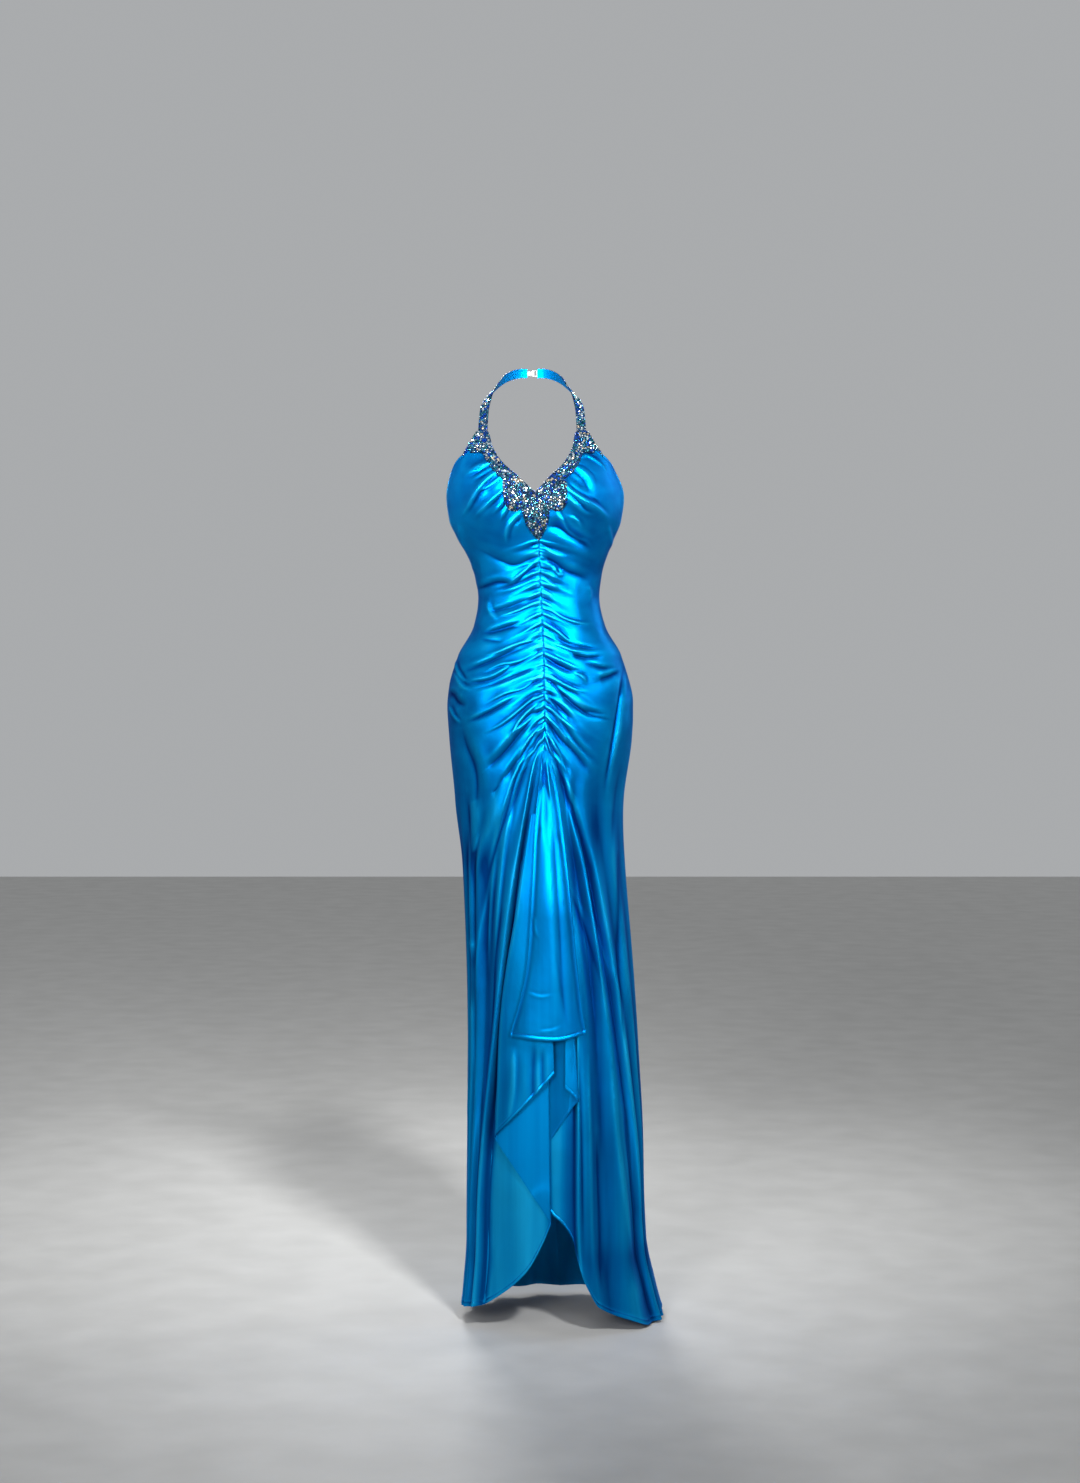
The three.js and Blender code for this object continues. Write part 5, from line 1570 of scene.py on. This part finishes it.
@dataclass
class Beading:
    """Beads sewn close together over a patch."""

    wardrobe: Wardrobe
    name: str
    patch: Patch
    seed: int
    stones_along: bool = True
    group: float = 11.0
    grouped: float = 0.45
    found_within: float = 3.0
    cluster: int = 5
    edge_step: float = 2.55
    groups: tuple = colours("TEAL ROYAL NAVY AQUA TEAL ROYAL SILVER")
    pale: tuple = colours("SILVER AQUA SILVER ROYAL SILVER TEAL AQUA CHAMPAGNE")

    def __post_init__(self) -> None:
        """Starts with no bead placed."""
        self.rng = np.random.default_rng(self.seed)
        self.spots = np.zeros((0, 3))
        self.radii = np.zeros(0)
        self.parts = []
        self.solids = {cut: cut.solid() for cut in Cut}

    def colour(self, column: float, cut: Cut = Cut.SEED) -> Colour:
        """A bead's colour: crystals are mostly pale, and many small beads follow their group."""
        if cut is Cut.CRYSTAL:
            return self.pale[int(self.rng.integers(len(self.pale)))]
        if self.rng.random() < self.grouped:
            place = column * self.patch.size()[1] / self.group + self.seed
            return self.groups[int(place) % len(self.groups)]
        return list(Colour)[int(self.rng.choice(len(Colour), p=[c.value[1] for c in Colour]))]

    def place(self, row: float, column: float, cut: Cut, colour: Colour, tight: float = 1.0) -> bool:
        """Sets one bead where there is room.

        Args:
            row: Share down the patch.
            column: Share across the patch.
            cut: The bead's cut.
            colour: Its colour.
            tight: Share of the usual distance that is enough here.

        Returns:
            True where the bead was set.
        """
        at, normal = self.patch.at(np.array(row), np.array(column))
        radius = (cut.value[0] + cut.value[1]) / 2
        if len(self.spots):
            room = np.linalg.norm(self.spots - at, axis=1) - (self.radii + radius) * tight
            if room.min() < 0:
                return False
        self.spots = np.vstack([self.spots, at])
        self.radii = np.append(self.radii, radius)
        ahead = self.patch.at(np.array(row), np.array(min(column + 0.01, 1.0)))[0]
        behind = self.patch.at(np.array(row), np.array(max(column - 0.01, 0.0)))[0]
        along = unit(ahead - behind)
        turn = self.rng.uniform(-0.25, 0.25) if cut is Cut.STONE else self.rng.uniform(0, math.pi)
        lean = unit(normal + self.rng.normal(0, 0.11, 3))
        along = unit(along - lean * float(along @ lean))
        side = np.cross(lean, along)
        first = along * math.cos(turn) + side * math.sin(turn)
        axes = np.stack([first, np.cross(lean, first), lean])
        points, faces = self.solids[cut]
        grow = self.rng.uniform(0.92, 1.08)
        self.parts.append((at + points @ axes * grow, faces, colour.value[0]))
        return True

    def accent(self, cut: Cut, colour: Colour, x: float, z: float) -> None:
        """Sets one stone, or one crystal among small beads of its colour, if the patch passes there."""
        flat = self.patch.points.reshape(-1, 3)
        rows, columns = self.patch.points.shape[:2]
        away = np.hypot(flat[:, 0] - x, flat[:, 2] - z)
        nearest = int(away.argmin())
        if away[nearest] > self.found_within:
            return
        row = np.clip(nearest // columns / (rows - 1), 0.18, 0.82)
        column = np.clip(nearest % columns / (columns - 1), 0.02, 0.98)
        self.place(float(row), float(column), cut, colour)
        for _ in range(self.cluster if cut is Cut.CRYSTAL else 0):
            down, across = self.rng.normal(0, 0.09, 2) * (2.2, 0.35)
            down, across = np.clip(row + down, 0.1, 0.9), np.clip(column + across, 0, 1)
            self.place(float(down), float(across), Cut.SEED, colour)

    def middle_row(self) -> None:
        """Sets larger crystals and stones along the middle at uneven distances."""
        length = self.patch.size()[1]
        at = self.rng.uniform(2.5, 4)
        cuts = Cut.CRYSTAL, Cut.STONE, Cut.CRYSTAL, Cut.CRYSTAL, Cut.STONE, Cut.CRYSTAL
        kinds = tuple(zip(cuts, colours("SILVER CHAMPAGNE ROYAL AQUA SILVER TEAL")))
        count = int(self.rng.integers(0, 6))
        while at < length - 2.5:
            cut, colour = kinds[count % len(kinds)]
            self.place(self.rng.uniform(0.42, 0.58), at / length, cut, colour)
            at += self.rng.uniform(7.5, 10.5)
            count += 1

    def edging(self) -> None:
        """Sets a row of small beads along both long edges."""
        length = self.patch.size()[1]
        margin = 1.3 / self.patch.size()[0]
        for row in (margin, 1 - margin):
            for share in np.arange(1.2, length - 1, self.edge_step) / length:
                self.place(float(row), float(share), Cut.SEED, self.colour(float(share)), 0.9)

    def fill(self) -> None:
        """Fills the rest with medium and then small beads."""
        down, across = self.patch.size()
        edge_row, edge_column = min(0.3, 1.2 / down), min(0.3, 1.2 / across)
        tries = int(down * across * 1.1)
        for cut, share in ((Cut.CRYSTAL, 0.35), (Cut.SEED, 1.0)):
            for _ in range(int(tries * share)):
                row = self.rng.uniform(edge_row, 1 - edge_row)
                column = self.rng.uniform(edge_column, 1 - edge_column)
                self.place(row, column, cut, self.colour(column, cut), 0.94)

    def build(self) -> bpy.types.Object:
        """Builds all the beads of the patch as one mesh."""
        for cut, colour, spots in ACCENTS:
            for x, z in zip(spots[::2], spots[1::2]):
                self.accent(cut, colour, x, z)
        if self.stones_along:
            self.middle_row()
        self.edging()
        self.fill()
        obj = add_object(self.name, soup(self.name, self.parts), self.wardrobe.beads)
        declare(obj)
        log.info("%s: %d beads, %d triangles", self.name, len(self.parts), len(obj.data.polygons))
        return obj


@dataclass
class Trim:
    """A beaded piece: a thin cloth ground that stands for one CAD node, and its beads."""

    wardrobe: Wardrobe
    node: str
    seed: int
    flat: tuple
    hangs_from: tuple
    ground: float = 1.0
    stones_along: bool = True
    facing: int = 1
    area: float | None = None

    def points(self) -> Array:
        """The middle points of the ground in mm."""
        raise NotImplementedError

    def build(self) -> bpy.types.Object:
        grid = self.points()
        normals = grid_normals(grid, self.facing)
        mesh = shell(f"{self.node}_ground", grid, self.facing, self.ground)
        ground = add_object(f"{self.node}_ground", mesh, [self.wardrobe.net, self.wardrobe.reverse])
        declare(ground, self.node)
        patch = Patch(grid + normals * self.ground / 2, normals)
        name = f"{self.node}_beads"
        beads = Beading(self.wardrobe, name, patch, self.seed, self.stones_along).build()
        log.info("%s: %.5f square metres", ground.name, grid_area(grid))
        return ground


@dataclass
class FrontTrim(Trim):
    """Trim that lies on the fronts, in their rows and columns; a column is negative on the right."""

    fronts: dict = field(default_factory=dict)
    lift: float = 2.1

    def over(self, row: Array, column: Array) -> Array:
        """Points above the fronts."""
        right = self.fronts[Side.RIGHT].lifted(row, np.maximum(-column, 0), self.lift)[0]
        left = self.fronts[Side.LEFT].lifted(row, np.maximum(column, 0), self.lift)[0]
        share = np.clip(0.5 + column / 0.12, 0, 1)[..., None]
        return mix(right, left, share)


@dataclass
class EdgeBand(FrontTrim):
    """A beaded band on the cut edge of one front, between two of its columns."""

    side: Side = Side.RIGHT
    start: float = 0.004
    end: float = 6.0
    rows: float = 2.0
    taper: float = 0.0
    steps: int = 120

    def points(self) -> Array:
        """The middle points of the ground in mm."""
        column, share = np.meshgrid(np.linspace(self.start, self.end, self.steps), np.linspace(0, 1, 18))
        rows = self.rows - self.taper * smooth(column, self.end - 1.3, self.end)
        return self.over(share * rows, column * self.side.value)


@dataclass
class Motif(FrontTrim):
    """The beaded motif at the foot of the V, over both fronts: three lobes, alike on both sides."""

    half: tuple = (
        (0, 10.9), (0.5, 10.2), (1, 9.2), (1.6, 7.6), (2, 5.3),
        (2.5, 5.9), (3, 6), (3.5, 5.6), (3.75, 4.8),
    )
    top: float = 2.06

    def points(self) -> Array:
        """The middle points of the ground in mm."""
        foot = Curve((*((-column, row) for column, row in self.half[:0:-1]), *self.half))
        reach = self.half[-1][0]
        column, share = np.meshgrid(np.linspace(-reach, reach, 121), np.linspace(0, 1, 54))
        return self.over(mix(self.top, foot(column), share), column)


@dataclass
class Strap(Trim):
    """A beaded halter strap, from the cup tip round the neck to the clasp."""

    side: Side = Side.RIGHT
    front: Front | None = None
    width: float = 15.5
    path: tuple = (
        (80, -124, -92),
        (78, -110, -70),
        (72, -88, -50),
        (62, -60, -34),
        (47, -31.5, -14),
        (31, -10.5, -3.5),
        (19, -1.2, -0.2),
        (8.6, 1.1, 0),
    )
    outward: tuple = (
        (0, 0.1, -1, 0.1),
        (0.25, 0.35, -0.8, 0.35),
        (0.5, 0.85, -0.35, 0.45),
        (0.75, 0.8, 0.45, 0.35),
        (1, 0.03, 1, 0.05),
    )

    def points(self) -> Array:
        """The middle points of the ground in mm."""
        side = self.side.value
        ends = np.array([0.0, 0.0]), np.array([6.0, 7.0])
        start = self.front.point(*ends, detail=False).mean(0) + (0, -1.2, 1.8)
        line = spline(np.vstack([start, np.array(self.path) * (side, 1, 1)]), 121)
        t = np.linspace(0, 1, len(line))
        look = np.stack([Curve(tuple((row[0], row[k]) for row in self.outward))(t) for k in (1, 2, 3)], 1)
        look *= (side, 1, 1)
        across = np.cross(np.gradient(line, axis=0), look) * -side
        across[0, 2] = 0
        across[-1, 0] = 0
        across = unit(across)
        offset = np.linspace(-0.5, 0.5, 13)[:, None, None] * self.width
        return line + across * offset


@dataclass
class Zip:
    """The concealed zip: a tape inside the backs, with its teeth. The slider and pull are CAD."""

    wardrobe: Wardrobe
    backs: dict
    share: float = 4 / 26
    columns: float = 0.06
    teeth: int = 110
    tape_depth: float = 1.9
    tooth_depth: float = 2.6
    end_gap: float = 0.004
    flat: tuple = (0.036, 0.19)

    def inside(self, share: Array, u: Array, lift: float) -> Array:
        """Points inside the backs; u is negative on the right."""
        found = []
        for side in Side:
            at = self.backs[side].point(share, np.maximum(u * side.value, 0))
            at[..., 1] -= lift
            found.append(at)
        return mix(found[0], found[1], np.clip(0.5 + u / 0.004, 0, 1)[..., None])

    def build(self) -> bpy.types.Object:
        """Builds the tape and the teeth."""
        u, share = np.meshgrid(np.linspace(-self.columns, self.columns, 13), np.linspace(0, self.share, 50))
        grid = self.inside(share, u, self.tape_depth)
        mesh = shell("zip_tape_cloth", grid, 1, 0.7)
        tape = add_object("zip_tape_cloth", mesh, [self.wardrobe.tape, self.wardrobe.tape])
        declare(tape, "zip_tape")
        shares = np.linspace(self.end_gap, self.share - self.end_gap, self.teeth)
        line = self.inside(shares, np.zeros(self.teeth), self.tooth_depth)
        box = np.array([[x, y, z] for x in (-1.6, 1.6) for y in (-0.45, 0.45) for z in (-0.4, 0.4)])
        faces = [(0, 1, 3, 2), (4, 6, 7, 5), (0, 4, 5, 1), (2, 3, 7, 6), (0, 2, 6, 4), (1, 5, 7, 3)]
        parts = [(at + box + (0.5 * (-1) ** k, 0, 0), faces, 0) for k, at in enumerate(line)]
        teeth = add_object("zip_teeth", soup("zip_teeth", parts), [self.wardrobe.tape])
        declare(teeth)
        log.info("zip_tape_cloth: %.5f square metres", grid_area(grid))
        return tape


@dataclass
class Fittings:
    """The steel pieces whose CAD shape is right: they only get their finish."""

    wardrobe: Wardrobe
    nodes: tuple = ("nape_hook", "nape_eye", "zip_slider", "zip_pull")

    def dress(self) -> None:
        """Gives each fitting its steel."""
        for name in self.nodes:
            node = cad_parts[name]
            node.data.materials.clear()
            node.data.materials.append(self.wardrobe.steel)
            log.info("%s: plated steel", name)


@dataclass
class Studio:
    """A plain pale floor, soft light and the camera."""

    wardrobe: Wardrobe
    floor_z: float = -1.586
    look_at: tuple = (0.013, -0.12, -0.619)
    camera_at: tuple = (0.013, -4.32, -0.50)
    lens: float = 61.8
    reach: float = 9.0
    dark_before: tuple = (0.17, 0.172, 0.176, 1)
    pale_behind: tuple = (0.4, 0.41, 0.42, 1)
    turn: float = 0.7

    def camera(self) -> None:
        """Sets the camera at the photograph's angle and framing."""
        lens = bpy.data.cameras.new("photo_camera")
        lens.sensor_fit = "VERTICAL"
        lens.sensor_height = 36
        lens.lens = self.lens
        camera = linked("photo_camera", lens)
        face(camera, self.camera_at, self.look_at)
        bpy.context.scene.camera = camera

    def light(
        self, name: str, at: tuple, size: tuple, power: float, aim_z: float = -0.75, spread: float = 75
    ) -> None:
        """Adds one soft panel light that faces the dress at a height, with its spread in degrees."""
        lamp = bpy.data.lights.new(name, "AREA")
        lamp.shape = "RECTANGLE"
        lamp.size, lamp.size_y = size
        lamp.energy = power
        lamp.spread = math.radians(spread)
        face(linked(name, lamp), at, (0.0, -0.1, aim_z))

    def paint(self, tree: bpy.types.NodeTree) -> None:
        """Makes the world pale behind the dress and darker in front of it, so that the satin has contrast."""
        background = tree.nodes["Background"]
        parts = tree.nodes.new("ShaderNodeSeparateXYZ")
        tree.links.new(tree.nodes.new("ShaderNodeTexCoord").outputs["Generated"], parts.inputs["Vector"])
        share = tree.nodes.new("ShaderNodeMapRange")
        share.inputs["From Min"].default_value = -self.turn
        share.inputs["From Max"].default_value = self.turn
        tree.links.new(parts.outputs["Y"], share.inputs["Value"])
        colour = tree.nodes.new("ShaderNodeMix")
        colour.data_type = "RGBA"
        colour.inputs[6].default_value = self.dark_before
        colour.inputs[7].default_value = self.pale_behind
        tree.links.new(share.outputs["Result"], colour.inputs[0])
        tree.links.new(colour.outputs[2], background.inputs["Color"])

    def build(self) -> None:
        """Builds the floor, the world and the lights."""
        mesh = bpy.data.meshes.new("studio_floor")
        corners = ((-1, -1), (1, -1), (1, 1), (-1, 1))
        points = [(x * self.reach, y * self.reach, self.floor_z) for x, y in corners]
        mesh.from_pydata(points, [], [(0, 1, 2, 3)])
        floor = add_object("studio_floor", mesh, [self.wardrobe.floor])
        world = bpy.data.worlds.new("studio")
        world.use_nodes = True
        self.paint(world.node_tree)
        bpy.context.scene.world = world
        self.light("key_light", (0.9, -2.9, 1.7), (0.35, 0.45), 12.5, -0.3, 42)
        self.light("fill_light", (-0.8, -3.3, -0.05), (0.6, 1.0), 8, -0.6, 60)
        self.light("right_cup_light", (-1.8, -2.9, 0.25), (0.35, 0.35), 2.4, 0.0, 16)
        self.light("left_cup_light", (1.9, -2.8, 0.2), (0.35, 0.35), 1.8, 0.0, 16)
        self.light("drape_light", (0.8, -3.3, -0.2), (0.35, 0.35), 0.8, -1.0, 18)
        self.light("left_rim_light", (2.1, 0.9, 0.3), (0.3, 1.8), 2)
        self.light("back_light", (-0.5, 3.2, 0.9), (0.8, 1.4), 12)
        sky = bpy.data.lights.new("sky_light", "SUN")
        sky.energy, sky.angle = 0.45, math.radians(20)
        linked("sky_light", sky).rotation_euler = (math.radians(38), math.radians(-12), 0)
        bpy.context.scene.view_settings.view_transform = "Standard"


def main() -> None:
    """Builds the dress and the studio, and reports each piece."""
    wardrobe = Wardrobe()
    studio = Studio(wardrobe)
    studio.camera()
    fronts = {
        Side.RIGHT: Front(wardrobe, node="front_right", hangs_from=("strap_right",)),
        Side.LEFT: Front(
            wardrobe,
            node="front_left",
            facing=-1,
            hangs_from=("strap_left",),
            side=Side.LEFT,
            folds=LEFT_FOLDS,
            cup_ridges=LEFT_CUP,
            creases=LEFT_CREASES,
            hem=LEFT_HEM,
            seed=7,
        ),
    }
    backs = {
        Side.RIGHT: Back(wardrobe, node="back_right", facing=-1, hangs_from=("front_right",)),
        Side.LEFT: Back(
            wardrobe,
            node="back_left",
            hangs_from=("front_left",),
            side=Side.LEFT,
            creases=BACK_LEFT_CREASES,
            foot=-1576.0,
            seed=13,
        ),
    }
    for piece in (*fronts.values(), *backs.values()):
        piece.build()
    Drape(wardrobe, node="cascade_centre", flat=(0.17, 0.47), area=0.044, hangs_from=("front_right",)).build()
    SideFold(
        wardrobe,
        node="cascade_right",
        flat=(0.2, 0.67),
        area=0.078,
        hangs_from=("front_right",),
        hem=((0, -1402), (0.5, -1266), (1, -1158)),
        creases=RIGHT_FOLD_CREASES,
    ).build()
    SideFold(
        wardrobe,
        node="cascade_left",
        flat=(0.1, 0.37),
        area=0.021,
        hangs_from=("front_left",),
        top=-900.0,
        hem=((0, -1269), (0.5, -1203), (1, -1181)),
        creases=LEFT_FOLD_CREASES,
        side=Side.LEFT,
    ).build()
    for side in Side:
        word = side.word
        shared = {"facing": -side.value, "fronts": fronts, "side": side}
        front = (f"front_{word}",)
        band, tip, strap = f"neck_band_{word}", f"cup_tip_{word}", f"strap_{word}"
        EdgeBand(wardrobe, band, 31 + side.value, (0.024, 0.15), front, area=0.0028, **shared).build()
        ends = {"start": 6.03, "end": 8.0, "taper": 1.5, "steps": 50}
        EdgeBand(wardrobe, tip, 41 + side.value, (0.045, 0.025), front, **ends, **shared).build()
        halter = {"facing": side.value, "front": fronts[side], "side": side}
        Strap(wardrobe, strap, 51 + side.value, (0.0155, 0.22), (tip,), **halter).build()
    Motif(
        wardrobe,
        "centre_motif",
        61,
        (0.08, 0.075),
        ("front_right", "front_left"),
        stones_along=False,
        facing=-1,
        area=0.0053,
        fronts=fronts,
    ).build()
    Zip(wardrobe, backs).build()
    Fittings(wardrobe).dress()
    studio.build()


if __name__ == "__main__":
    main()
